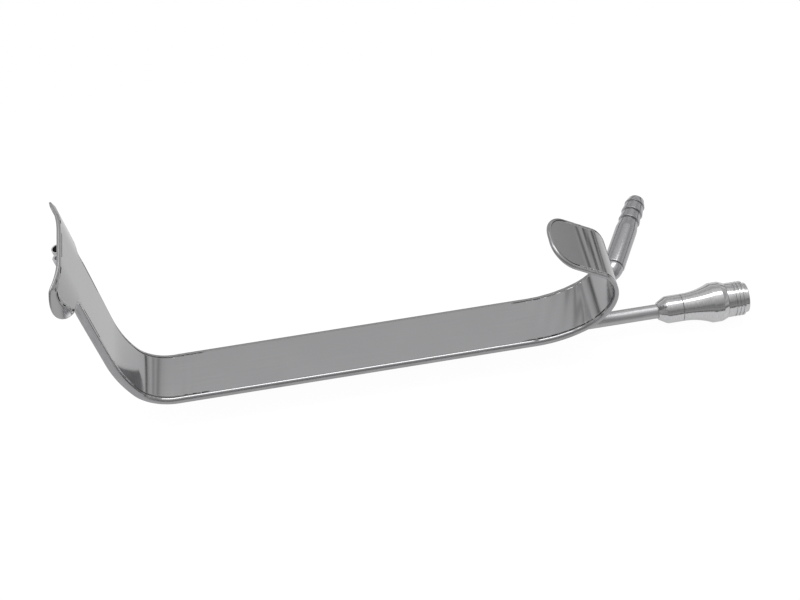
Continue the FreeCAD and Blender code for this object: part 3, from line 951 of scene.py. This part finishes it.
    def build(self) -> list[bpy.types.Object]:
        """Makes and dresses the strip, with its edges in a finish of their own, rougher and with painted
        shade.

        Returns:
            The strip, as the only piece.
        """
        mesh = StripMesh(self, self.outline())
        mesh.fill()
        piece = mesh_piece("forged_strip", mesh.points, mesh.faces, (STRIP_MAP, mesh.spots))
        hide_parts("retractor_strip")
        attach(piece, Body.RETRACTOR.value)
        dress(piece, GroundSteel().material(), MaterialSlot.STRIP)
        # Edge finish: rougher than the faces, and its darker grey is painted shade on the flanks.
        piece.data.materials.append(BeltedEdge().material())
        for face in piece.data.polygons:
            face.material_index = int(face.index in mesh.flank)
        return [piece]


@dataclass
class StripMesh:
    """Mesh of the strip in the making: two faces as grids and, between them, rings round the rim."""

    strip: RetractorStrip
    half: list[RimSpot]
    points: list[Vector] = field(default_factory=list)
    spots: list[tuple[float, float]] = field(default_factory=list)
    faces: list[tuple[int, ...]] = field(default_factory=list)
    flank: set[int] = field(default_factory=set)

    def add(self, row: int, share: float, inset: float, level: float, around: float = 0.0) -> int:
        """Adds one corner and its place on the map.

        Args:
            row: Number of the outline's point.
            share: Share of the half width, negative on the other side.
            inset: Distance from the outline into the metal.
            level: Depth behind the inner face.
            around: Length along the rounded rim.

        Returns:
            The corner's number.
        """
        spot = self.half[row]
        distance = spot.along + spot.inward[0] * inset
        side = (spot.side + spot.inward[1] * inset) * share
        self.points.append(self.strip.place(distance, side, level))
        self.spots.append((distance, side + around))
        return len(self.points) - 1

    def bevelled(self, row: int, share: float) -> float:
        """Share of the bevel, which runs out along the blade's top edge.

        Args:
            row: Number of the outline's point.
            share: Share of the half width, negative on the other side.

        Returns:
            Share of the bevel from zero to one.
        """
        bevel = self.half[row].bevel
        if row == len(self.half) - 1:
            bevel *= ease(abs(share), self.strip.top_bare, 1.0)
        return bevel

    def sheet(self, front: bool) -> list[list[int]]:
        """Adds one face of the strip, up to where its bevel or its rounded rim begins.

        Args:
            front: Whether it is the inner face, which has the bevel.

        Returns:
            Numbers of its corners, row by row.
        """
        strip = self.strip
        rows = []
        for row, spot in enumerate(self.half):
            thick = strip.thickness(spot.along)
            cells = []
            for column in range(strip.columns + 1):
                share = 1 - 2 * column / strip.columns
                bevel = self.bevelled(row, share) if front else 0.0
                wide = max(strip.bevel_width * bevel, strip.bevel(thick, bevel)[1])
                cells.append(self.add(row, share, wide + strip.support, 0.0 if front else thick))
            rows.append(cells)
        for low, high in zip(rows, rows[1:]):
            for column in range(strip.columns):
                quad = (low[column], low[column + 1], high[column + 1], high[column])
                self.faces.append(quad if front else quad[::-1])
        return rows

    def loop(self) -> list[tuple[int, float]]:
        """Goes once round the whole outline.

        Returns:
            The row and the share of the half width of each spot.
        """
        last = len(self.half) - 1
        columns = self.strip.columns
        found = [(row, 1.0) for row in range(last + 1)]
        found += [(last, 1 - 2 * column / columns) for column in range(1, columns)]
        found += [(row, -1.0) for row in reversed(range(last + 1))]
        return found + [(0, -1 + 2 * column / columns) for column in range(1, columns)]

    def border(self, rows: list[list[int]]) -> list[int]:
        """Goes once round the border of a face.

        Args:
            rows: Numbers of the face's corners, row by row.

        Returns:
            Numbers of its outermost corners, in the order of the loop.
        """
        end = self.strip.columns
        found = [row[0] for row in rows] + rows[-1][1:end]
        return found + [row[end] for row in reversed(rows)] + rows[0][end - 1:0:-1]

    def bevel_ring(self, step: int) -> list[int]:
        """Adds one ring of corners across the bevel, from its crease to the rim.

        Args:
            step: Number of the ring.

        Returns:
            Numbers of its corners.
        """
        strip = self.strip
        part = max(0, step - 1) / (strip.bevel_steps - 1)
        ring = []
        for row, share in self.loop():
            bevel = self.bevelled(row, share)
            drop, radius = strip.bevel(strip.thickness(self.half[row].along), bevel)
            least = radius + strip.ring_support * strip.support
            wide = max(strip.bevel_width * bevel, least)
            crease = min(1.0, (wide - least) / strip.crease_width)
            start = wide - strip.crease_width * crease if step else wide
            sunk = strip.crease_depth * crease if step else 0.0
            ring.append(self.add(
                row, share, start + (radius - start) * part, sunk + (drop - sunk) * part))
        return ring

    def rim_ring(self, step: int) -> list[int]:
        """Adds one ring of corners round the rim, over the inner rounding and then the outer one.

        Args:
            step: Number of the ring.

        Returns:
            Numbers of its corners.
        """
        strip = self.strip
        front = step <= strip.rim_steps
        turn = step if front else 2 * strip.rim_steps + 1 - step
        angle = math.radians(90 * turn / strip.rim_steps)
        ring = []
        for row, share in self.loop():
            thick = strip.thickness(self.half[row].along)
            drop, radius = strip.bevel(thick, self.bevelled(row, share))
            level = radius * (1 - math.cos(angle))
            ring.append(self.add(
                row, share, radius * (1 - math.sin(angle)),
                drop + level if front else thick - level,
                radius * angle * math.copysign(1.0, share)))
        return ring

    def fill(self) -> None:
        """Adds all corners and faces, and notes the faces of the rim that the belt has ground, which get
        the edge finish with its painted shade.
        """
        strip = self.strip
        front, back = self.sheet(True), self.sheet(False)
        rings = [self.bevel_ring(step) for step in range(strip.bevel_steps)]
        rings += [self.rim_ring(step) for step in range(2 * strip.rim_steps + 2)]
        bands = [self.border(front), *rings, self.border(back)]
        first = strip.bevel_steps + 1 + strip.rim_steps // 2
        for number, (near, far) in enumerate(zip(bands, bands[1:])):
            if first <= number < first + strip.rim_steps + 2:
                self.flank.update(range(len(self.faces), len(self.faces) + len(near)))
            corners = zip(near, far, far[1:] + far[:1], near[1:] + near[:1])
            self.faces += [tuple(numbers) for numbers in corners]


@dataclass(frozen=True)
class Thread:
    """Screw thread cut into a turned piece: where it starts and ends, its pitch and its depth."""

    start: float
    end: float
    pitch: float = 1.0
    depth: float = 0.35
    sample: float = 0.125


@dataclass
class TurnedPiece:
    """Piece turned about an axis from a closed half outline of (along, radius) corners.

    Each corner is eased by cutting it back and rounding it, by more where big_ease has its number.
    """

    name: str
    corners: list[tuple[float, float]]
    origin: tuple[float, float, float]
    axis_degrees: float = 0.0
    corner_ease: float = 0.12
    big_ease: dict[int, float] = field(default_factory=dict)
    segments: int = 144
    ease_steps: int = 4
    ease_share: float = 0.42
    straight_degrees: float = 175.0
    thread: Optional[Thread] = None

    def eased(self) -> list[tuple[float, float]]:
        """Rounds each corner of the closed half outline.

        Returns:
            Corners of the rounded outline.
        """
        count = len(self.corners)
        found = []
        for i, corner in enumerate(self.corners):
            here = Vector(corner)
            before = Vector(self.corners[i - 1]) - here
            after = Vector(self.corners[(i + 1) % count]) - here
            turn = before.angle(after) if before.length and after.length else math.pi
            if turn > math.radians(self.straight_degrees):
                found.append(tuple(here))
                continue
            cut = self.big_ease.get(i, self.corner_ease)
            cut = min(cut, before.length * self.ease_share, after.length * self.ease_share)
            first = here + before.normalized() * cut
            last = here + after.normalized() * cut
            for j in range(self.ease_steps + 1):
                t = j / self.ease_steps
                found.append(tuple(first * (1 - t) ** 2 + here * 2 * t * (1 - t) + last * t ** 2))
        return found

    def sampled(self) -> list[tuple[float, float]]:
        """Eased outline with close points where the thread is cut.

        Returns:
            Corners of the outline.
        """
        outline = self.eased()
        if self.thread is None:
            return outline
        found = []
        for i, (x, r) in enumerate(outline):
            nx, nr = outline[(i + 1) % len(outline)]
            found.append((x, r))
            level = r >= nr and r - nr < SAME_MM and self.is_outside(r)
            threaded = min(x, nx) < self.thread.end and max(x, nx) > self.thread.start
            if level and threaded and abs(nx - x) > 2 * self.thread.sample:
                count = round(abs(nx - x) / self.thread.sample)
                found += [(x + (nx - x) * k / count, r) for k in range(1, count)]
        return found

    def is_outside(self, radius: float) -> bool:
        """Whether a radius is the thread's own, which is the widest within its length."""
        within = [r for x, r in self.corners if self.thread.start <= x <= self.thread.end]
        return bool(within) and abs(radius - max(within)) < SAME_MM

    def build(self) -> bpy.types.Object:
        """Turns the outline into a mesh in the part's frame.

        Returns:
            The piece, undressed.
        """
        outline = self.sampled()
        spin = Matrix.Rotation(math.radians(self.axis_degrees), 4, "Z")
        spin.translation = Vector(self.origin)
        points, spots = [], []
        run = 0.0
        for i, (x, r) in enumerate(outline):
            run += (Vector((x, r)) - Vector(outline[i - 1])).length if i else 0.0
            for k in range(self.segments):
                angle = 2 * math.pi * k / self.segments
                radius = r - self.thread_cut(x, r, angle)
                points.append(spin @ Vector((x, radius * math.cos(angle), radius * math.sin(angle))))
                spots.append((run, TURN_ON_MAP * k / self.segments))
        rings, size = len(outline), self.segments
        faces = []
        for i in range(rings):
            j = (i + 1) % rings
            for k in range(size):
                m = (k + 1) % size
                faces.append((i * size + k, i * size + m, j * size + m, j * size + k))
        return mesh_piece(self.name, points, faces, (LATHE_MAP, spots))

    def thread_cut(self, x: float, radius: float, angle: float) -> float:
        """Depth of the thread's groove at one point.

        Args:
            x: Distance along the axis.
            radius: Radius before the thread is cut.
            angle: Angle round the axis in radians.

        Returns:
            Depth in millimetres, zero where there is no thread.
        """
        cut = self.thread
        if cut is None or not cut.start < x < cut.end or not self.is_outside(radius):
            return 0.0
        phase = (x / cut.pitch - angle / (2 * math.pi)) % 1.0
        fade = min(1.0, (x - cut.start) / cut.pitch, (cut.end - x) / cut.pitch)
        return cut.depth * abs(2 * phase - 1) * max(0.0, fade)


@dataclass
class LightConnector:
    """Connector on the light guide: boss with nipple, flared adapter and ribbed end adapter."""

    side: float = -0.9
    depth: float = 5.9
    boss_start: float = 109.9
    cone_length: float = 3.2
    mouth_radius: float = 3.15
    tube_radius: float = 2.65
    barrel_radius: float = 5.0
    barrel_end: float = 8.7
    nipple_radius: float = 3.4
    nipple_end: float = 18.2
    nipple_bore: float = 1.7
    socket_depth: float = 6.0
    flare_start: float = 118.7
    waist_length: float = 0.6
    rise_length: float = 10.1
    flare_radius: float = 7.24
    land: float = 3.4
    chamfer: float = 1.9
    nose_radius: float = 6.5
    seal_room: float = 0.84
    flare_bore: float = 3.45
    socket_radius: float = 4.65
    flare_socket: float = 5.4
    end_start: float = 129.8
    spigot_length: float = 5.0
    spigot_radius: float = 4.6
    end_radius: float = 6.25
    end_plain: float = 2.4
    groove: float = 0.5
    groove_width: float = 0.6
    groove_pitch: float = 1.3
    groove_count: int = 3
    nose_length: float = 1.6
    end_nose_radius: float = 5.4
    end_bore: float = 3.0
    clearance: float = 0.05
    curve_steps: int = 16
    cone_ease: float = 0.6
    barrel_ease: float = 0.18
    grip_ease: float = 0.14
    nose_ease: float = 0.35
    nipple_relief: float = 0.8
    spigot_relief: float = 0.9
    thread_lead: float = 0.3

    def at(self, along: float) -> tuple[float, float, float]:
        """Point on the connector's axis."""
        return along, self.side, -self.depth

    def boss(self) -> TurnedPiece:
        """Outlines the cone, the barrel and the threaded nipple.

        Returns:
            The piece to turn.
        """
        return TurnedPiece(
            "connector_base",
            [(0.0, self.mouth_radius), (self.cone_length, self.barrel_radius),
             (self.barrel_end, self.barrel_radius), (self.barrel_end, self.nipple_radius),
             (self.nipple_end, self.nipple_radius), (self.nipple_end, self.nipple_bore),
             (self.socket_depth, self.nipple_bore), (self.socket_depth, self.tube_radius),
             (0.0, self.tube_radius)],
            self.at(self.boss_start), big_ease={1: self.cone_ease, 2: self.barrel_ease},
            thread=Thread(self.barrel_end + self.nipple_relief, self.nipple_end - self.thread_lead))

    def flare(self) -> TurnedPiece:
        """Outlines the adapter with the flared grip and its sharp land.

        Returns:
            The piece to turn.
        """
        rise = self.flare_radius - self.barrel_radius
        arc = (self.rise_length ** 2 + rise ** 2) / (2 * rise)
        total = self.waist_length + self.rise_length + self.land + self.chamfer
        seat = self.socket_radius - self.clearance + self.seal_room
        curve = []
        for i in range(self.curve_steps + 1):
            along = self.rise_length * i / self.curve_steps
            curve.append((self.waist_length + along,
                          self.barrel_radius + arc - math.sqrt(arc ** 2 - along ** 2)))
        shoulder = self.waist_length + self.rise_length + self.land
        corners = [(0.0, self.barrel_radius), *curve, (shoulder, self.flare_radius),
                   (total, self.nose_radius), (total, seat), (total - self.seal_room, seat),
                   (total - self.seal_room, self.socket_radius),
                   (total - self.flare_socket, self.socket_radius),
                   (total - self.flare_socket, self.flare_bore), (self.seal_room, self.flare_bore),
                   (self.seal_room, self.nipple_radius + self.seal_room),
                   (0.0, self.nipple_radius + self.seal_room)]
        return TurnedPiece("flared_grip", corners, self.at(self.flare_start),
                          corner_ease=self.grip_ease)

    def end(self) -> TurnedPiece:
        """Outlines the ribbed end adapter with its threaded spigot.

        Returns:
            The piece to turn.
        """
        plain = self.spigot_length + self.end_plain
        low = self.end_radius - self.groove
        corners = [(0.0, self.spigot_radius), (self.spigot_length, self.spigot_radius),
                   (self.spigot_length, self.end_radius)]
        for i in range(self.groove_count):
            near = plain + i * self.groove_pitch
            far = near + self.groove_width
            corners += [(near, self.end_radius), (near, low), (far, low), (far, self.end_radius)]
        rim = plain + self.groove_count * self.groove_pitch
        tip = rim + self.nose_length
        corners += [(rim, self.end_radius), (rim, self.end_nose_radius), (tip, self.end_nose_radius),
                    (tip, self.end_bore), (0.0, self.end_bore)]
        return TurnedPiece("ribbed_end", corners, self.at(self.end_start),
                           big_ease={len(corners) - 3: self.nose_ease},
                           thread=Thread(self.thread_lead, self.spigot_length - self.spigot_relief))

    def build(self) -> list[bpy.types.Object]:
        """Makes the three turned pieces and dresses the seals.

        Returns:
            The three turned pieces.
        """
        steel = TurnedSteel().material()
        made = []
        for turned, node, body in (
            (self.boss(), "connector_boss", Body.RETRACTOR),
            (self.flare(), "flared_adapter", Body.FLARED),
            (self.end(), "end_adapter", Body.END),
        ):
            piece = turned.build()
            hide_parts(node)
            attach(piece, body.value)
            dress(piece, steel, MaterialSlot.TURNED)
            made.append(piece)
        rubber = SealRubber().material()
        for node in ("inner_seal", "outer_seal"):
            dress(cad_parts[node], rubber)
            smooth(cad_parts[node])
        return made


@dataclass
class SuctionLine:
    """Suction tube with its conical collar and the ridged hose barb."""

    side: float = 4.0
    depth: float = 4.9
    turn_start: float = 83.8
    turn_radius: float = 10.0
    turn_degrees: float = 61.0
    run: float = 8.54
    tube_radius: float = 1.8
    tube_bore: float = 1.4
    collar_length: float = 5.0
    collar_small: float = 2.4
    collar_radius: float = 3.9
    collar_grip: float = 4.0
    collar_curve: tuple[tuple[float, float], ...] = (
        (0.0, 0.0), (0.1, 0.22), (0.25, 0.46), (0.42, 0.67), (0.6, 0.83), (0.8, 0.95), (1.0, 1.0))
    spigot_radius: float = 3.0
    spigot_length: float = 1.6
    barb_radius: float = 4.1
    barb_bore: float = 1.8
    plain: float = 18.3
    pitch: float = 4.1
    ridge: float = 0.6
    ridges: int = 3
    nose_radius: float = 3.9
    tip_radius: float = 2.9
    tip_length: float = 3.2
    joint_gap: float = 0.1
    clearance: float = 0.05
    collar_ease: float = 0.3
    foot_ease: float = 0.35
    ridge_ease: float = 0.6
    tip_ease: float = 1.3

    def outlet(self, beyond: float) -> tuple[float, float, float]:
        """Point on the outlet's axis.

        Args:
            beyond: Distance beyond the collar's foot.

        Returns:
            The point in millimetres.
        """
        turn = math.radians(self.turn_degrees)
        reach = self.run + beyond
        return (self.turn_start + self.turn_radius * math.sin(turn) + reach * math.cos(turn),
                self.side + self.turn_radius * (1 - math.cos(turn)) + reach * math.sin(turn),
                -self.depth)

    def collar(self) -> TurnedPiece:
        """Outlines the collar that widens from the tube to the barb.

        Returns:
            The piece to turn.
        """
        reach = self.collar_length + self.spigot_length
        grip = self.tube_radius + self.clearance
        rise = self.collar_radius - self.collar_small
        corners = [(self.collar_length * along, self.collar_small + rise * out)
                   for along, out in self.collar_curve]
        corners += [(self.collar_length, self.spigot_radius), (reach, self.spigot_radius),
                    (reach, self.tube_bore), (self.collar_grip, self.tube_bore),
                    (self.collar_grip, grip), (0.0, grip)]
        return TurnedPiece("tube_collar", corners, self.outlet(0.0), self.turn_degrees,
                           big_ease={len(self.collar_curve) - 1: self.collar_ease})

    def barb(self) -> TurnedPiece:
        """Outlines the barb: plain grip, three ridges and a blunt, stepped tip.

        Returns:
            The piece to turn.
        """
        seat = self.spigot_radius + self.clearance
        corners = [(0.0, self.barb_radius)]
        soft = {0: self.foot_ease}
        for i in range(self.ridges):
            crest = self.plain + i * self.pitch
            soft[len(corners)] = self.ridge_ease
            corners.append((crest, self.barb_radius))
            corners.append((crest + self.pitch, self.barb_radius - self.ridge))
        nose = self.plain + self.ridges * self.pitch
        last = nose + self.tip_length
        corners.append((nose, self.nose_radius))
        soft[len(corners)] = self.tip_ease
        corners += [(last, self.tip_radius), (last, self.barb_bore), (self.spigot_length, self.barb_bore),
                    (self.spigot_length, seat), (0.0, seat)]
        return TurnedPiece("ridged_barb", corners, self.outlet(self.collar_length + self.joint_gap),
                           self.turn_degrees, big_ease=soft)

    def build(self) -> list[bpy.types.Object]:
        """Makes the collar and the barb.

        Returns:
            The two pieces.
        """
        steel = TurnedSteel(
            "turned_stainless_outlet", "#B4B4B6", "#A8A8AB", gloss=0.17, ring_height_mm=0.0003).material()
        made = []
        for turned, node in ((self.collar(), "suction_collar"), (self.barb(), "hose_barb")):
            piece = turned.build()
            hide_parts(node)
            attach(piece, Body.RETRACTOR.value)
            dress(piece, steel, MaterialSlot.TUBE)
            made.append(piece)
        return made


@dataclass
class TubeWork:
    """Carried-over tubes, ferrules, fibre ends and saddles, with the braze at the saddles' feet."""

    tubes: tuple[str, ...] = ("light_tube", "light_inlet_tube", "suction_tube")
    ferrules: tuple[str, ...] = ("light_exit_ferrule", "light_inlet_ferrule")
    windows: tuple[str, ...] = ("light_exit_window", "light_inlet_window", "fibre_bundle")
    saddles: tuple[str, ...] = ("rear_saddle", "middle_saddle", "front_saddle")
    bead: float = 0.35
    bead_inset: float = 0.05
    bead_profile: tuple[tuple[float, float], ...] = ((1.0, 0.0), (0.45, 0.3), (0.12, 0.62))
    bead_drop: float = 1.1
    corner_steps: int = 4
    foot_gap: float = 0.005
    strip_back: float = -3.0
    tube_edge_degrees: float = 35.0
    saddle_edge_degrees: float = 30.0

    def braze(self, node: str) -> bpy.types.Object:
        """Bead of braze round a saddle's foot.

        Args:
            node: Name of the saddle.

        Returns:
            The bead's mesh object.
        """
        low, high = (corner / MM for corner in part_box(node))
        loop = []
        corners = ((high.x, high.y, 0), (low.x, high.y, 90), (low.x, low.y, 180), (high.x, low.y, 270))
        for x, y, turn in corners:
            for i in range(self.corner_steps + 1):
                angle = math.radians(turn + 90 / self.corner_steps * i)
                loop.append((x, y, math.cos(angle), math.sin(angle)))
        points, faces = [], []
        profile = [(-self.bead_inset, 0.0)]
        profile += [(self.bead * out, -self.bead * drop) for out, drop in self.bead_profile]
        profile.append((-self.bead_inset, -self.bead * self.bead_drop))
        foot = self.strip_back - self.foot_gap
        for x, y, nx, ny in loop:
            for out, drop in profile:
                points.append(Vector((x + nx * out, y + ny * out, foot + drop)))
        size = len(profile)
        for i in range(len(loop)):
            j = (i + 1) % len(loop)
            for k in range(size):
                m = (k + 1) % size
                faces.append((i * size + k, j * size + k, j * size + m, i * size + m))
        return mesh_piece(f"braze_{node}", points, faces)

    def build(self) -> list[bpy.types.Object]:
        """Dresses the carried-over nodes and makes the braze.

        Returns:
            The beads of braze.
        """
        drawn = DrawnSteel().material()
        pickled = PickledSteel().material()
        fibres = FibreFace().material()
        for nodes, finish, sharp_degrees in (
            (self.tubes + self.ferrules, drawn, self.tube_edge_degrees),
            (self.saddles, pickled, self.saddle_edge_degrees),
            (self.windows, fibres, self.tube_edge_degrees),
        ):
            for node in nodes:
                dress(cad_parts[node], finish)
                smooth(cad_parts[node], sharp_degrees)
        alloy = SilverBraze().material()
        made = []
        for node in self.saddles:
            piece = self.braze(node)
            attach(piece, Body.RETRACTOR.value)
            dress(piece, alloy, MaterialSlot.TUBE)
            made.append(piece)
        return made


@dataclass
class Studio:
    """Camera at the photograph's viewing angle, white paper sheet, one large soft box and soft room.

    The camera's and the sheet's places are in millimetres, the soft box's in metres. The walls are
    pairs of elevation in degrees and colour.
    """

    camera_place: tuple[float, float, float] = (-1.55, -270.59, 396.03)
    azimuth: float = -4.0457
    elevation: float = 53.8785
    roll: float = 5.7072
    lens_mm: float = 60.689
    sensor_mm: float = 36.0
    near_clip: float = 0.01
    sheet: tuple[float, float] = (420.0, 300.0)
    sheet_middle: float = 35.0
    sheet_gap: float = 0.05
    paper: str = "#D0D0D0"
    shadow_share: float = 0.12
    lit_level: float = 0.35
    mirrored: float = 0.6
    box_size: tuple[float, float] = (1.2, 0.25)
    box_place: tuple[float, float, float] = (0.0, 0.22, 0.9)
    box_watts: float = 3.1
    walls: tuple[tuple[float, str], ...] = (
        (-90, "#B0B0B0"), (-12, "#B0B0B0"), (-5, "#505050"), (0, "#585858"), (2, "#909090"),
        (5, "#D0D0D0"), (9, "#DADADA"), (14, "#EEEEEE"), (20, "#ACACAC"), (26, "#E2E2E2"),
        (32, "#A6A6A6"), (40, "#DADADA"), (50, "#E2E2E2"), (58, "#E4E4E4"), (70, "#F2F2F2"),
        (77, "#FFFFFF"))
    front_level: float = 0.5
    front_span: tuple[float, float] = (-0.75, -0.1)
    ground_span: tuple[float, float] = (-0.03, -0.1)

    def camera(self) -> bpy.types.Object:
        """Adds the camera.

        Returns:
            The camera, made the scene's own.
        """
        a, e, r = (math.radians(v) for v in (self.azimuth, self.elevation, self.roll))
        away = Vector((math.sin(a) * math.cos(e), -math.cos(a) * math.cos(e), math.sin(e)))
        level = Vector((math.cos(a), math.sin(a), 0.0))
        rise = away.cross(level)
        right = level * math.cos(r) - rise * math.sin(r)
        up = level * math.sin(r) + rise * math.cos(r)
        lens = bpy.data.cameras.new("studio_camera")
        lens.sensor_width = self.sensor_mm
        lens.lens = self.lens_mm
        lens.clip_start = self.near_clip
        camera = bpy.data.objects.new("studio_camera", lens)
        camera.matrix_world = Matrix((right, up, away)).transposed().to_4x4()
        camera.location = Vector(self.camera_place) * MM
        bpy.context.scene.collection.objects.link(camera)
        bpy.context.scene.camera = camera
        return camera

    def backdrop_rays(
        self, tree: bpy.types.NodeTree, where: Optional[bpy.types.NodeSocket] = None
    ) -> bpy.types.NodeSocket:
        """Tells the rays that see the backdrop from those that only carry light.

        Args:
            tree: Node tree that gets the nodes.
            where: Share of the backdrop that mirrored rays see, all of it where none is given.

        Returns:
            One for camera rays, the mirrored share for glossy and transmission rays, zero for others.
        """
        seen = add_node(tree, "ShaderNodeLightPath")
        bounced = add_node(
            tree, "ShaderNodeMath", {"operation": "ADD"},
            {0: seen.outputs["Is Glossy Ray"], 1: seen.outputs["Is Transmission Ray"]})
        share = add_node(
            tree, "ShaderNodeMath", {"operation": "MULTIPLY", 1: self.mirrored}, {0: bounced.outputs[0]})
        if where is not None:
            share = add_node(
                tree, "ShaderNodeMath", {"operation": "MULTIPLY"}, {0: share.outputs[0], 1: where})
        either = add_node(
            tree, "ShaderNodeMath", {"operation": "ADD", "use_clamp": True},
            {0: seen.outputs["Is Camera Ray"], 1: share.outputs[0]})
        return either.outputs[0]

    def paper_sheet(self, height: float) -> bpy.types.Object:
        """Adds the sheet that the object lies on.

        Args:
            height: Lowest point of the object in millimetres.

        Returns:
            The sheet's object.
        """
        x, y = self.sheet[0] / 2, self.sheet[1] / 2
        level = height - self.sheet_gap
        corners = [Vector((self.sheet_middle + right * x, back * y, level))
                   for right, back in ((-1, -1), (1, -1), (1, 1), (-1, 1))]
        sheet = mesh_piece("paper_sheet", corners, [(0, 1, 2, 3)])
        made = bpy.data.materials.new("white_paper")
        made.use_nodes = True
        tree = made.node_tree
        tree.nodes.clear()
        lit = add_node(tree, "ShaderNodeBsdfDiffuse", {"Color": linear(self.paper)})
        # Where nothing shades it, the mix of lit paper and white comes out at full white.
        strength = (1 - self.lit_level * self.shadow_share) / (1 - self.shadow_share)
        white = add_node(tree, "ShaderNodeEmission", {"Color": linear("#FFFFFF"), "Strength": strength})
        plain = add_node(
            tree, "ShaderNodeMixShader", {"Fac": self.shadow_share},
            {1: white.outputs[0], 2: lit.outputs[0]})
        chosen = add_node(
            tree, "ShaderNodeMixShader", None,
            {"Fac": self.backdrop_rays(tree), 1: lit.outputs[0], 2: plain.outputs[0]})
        add_node(tree, "ShaderNodeOutputMaterial", None, {"Surface": chosen.outputs[0]})
        sheet.data.materials.append(made)
        return sheet

    def room(self) -> None:
        """Gives the world a bright ceiling over grey walls that are darker in front.

        The camera sees white all round, and mirrored rays see white below the horizon.
        """
        world = bpy.data.worlds.new("soft_room")
        bpy.context.scene.world = world
        world.use_nodes = True
        tree = world.node_tree
        tree.nodes.clear()
        way = add_node(tree, "ShaderNodeTexCoord")
        split = add_node(tree, "ShaderNodeSeparateXYZ", None, {0: way.outputs["Generated"]})
        height = add_node(
            tree, "ShaderNodeMapRange", {"From Min": -1.0, "From Max": 1.0}, {"Value": split.outputs["Z"]})
        walls = shade_ramp(
            add_node(tree, "ShaderNodeValToRGB", None, {0: height.outputs[0]}),
            [((math.sin(math.radians(angle)) + 1) / 2, shade) for angle, shade in self.walls])
        front = add_node(
            tree, "ShaderNodeMapRange",
            {"From Min": self.front_span[0], "From Max": self.front_span[1],
             "To Min": self.front_level, "To Max": 1.0},
            {"Value": split.outputs["Y"]})
        dim = add_node(
            tree, "ShaderNodeVectorMath", {"operation": "SCALE"},
            {0: walls.outputs[0], "Scale": front.outputs[0]})
        room = add_node(tree, "ShaderNodeBackground", {"Strength": 1.0}, {"Color": dim.outputs[0]})
        white = add_node(
            tree, "ShaderNodeBackground", {"Color": linear("#FFFFFF"), "Strength": 1.0})
        below = add_node(
            tree, "ShaderNodeMapRange",
            {"From Min": self.ground_span[0], "From Max": self.ground_span[1]},
            {"Value": split.outputs["Z"]})
        both = add_node(
            tree, "ShaderNodeMixShader", None,
            {"Fac": self.backdrop_rays(tree, below.outputs[0]), 1: room.outputs[0], 2: white.outputs[0]})
        add_node(tree, "ShaderNodeOutputWorld", None, {"Surface": both.outputs[0]})

    def soft_box(self) -> bpy.types.Object:
        """Adds the large lamp above and behind the object.

        Returns:
            The lamp's object.
        """
        lamp = bpy.data.lights.new("soft_box", "AREA")
        lamp.shape = "RECTANGLE"
        lamp.size, lamp.size_y = self.box_size
        lamp.energy = self.box_watts
        box = bpy.data.objects.new("soft_box", lamp)
        box.location = self.box_place
        box.rotation_euler = (-Vector(self.box_place)).to_track_quat("-Z", "Y").to_euler()
        bpy.context.scene.collection.objects.link(box)
        return box

    def build(self, low: float) -> None:
        """Adds everything round the object.

        Args:
            low: Lowest point of the object in millimetres.
        """
        bpy.context.scene.view_settings.view_transform = "Standard"
        self.camera()
        self.paper_sheet(low)
        self.room()
        self.soft_box()


def main() -> None:
    """Builds the studio and the sub-assemblies in order."""
    logging.basicConfig(level=logging.INFO, format="%(message)s")
    lowest = min(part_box(node)[0].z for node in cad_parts)
    Studio().build(lowest / MM)
    log.info("studio ready")
    for assembly in (RetractorStrip(), LightConnector(), SuctionLine(), TubeWork()):
        for piece in assembly.build():
            log.info("made %s", piece.name)


if __name__ == "__main__":
    main()
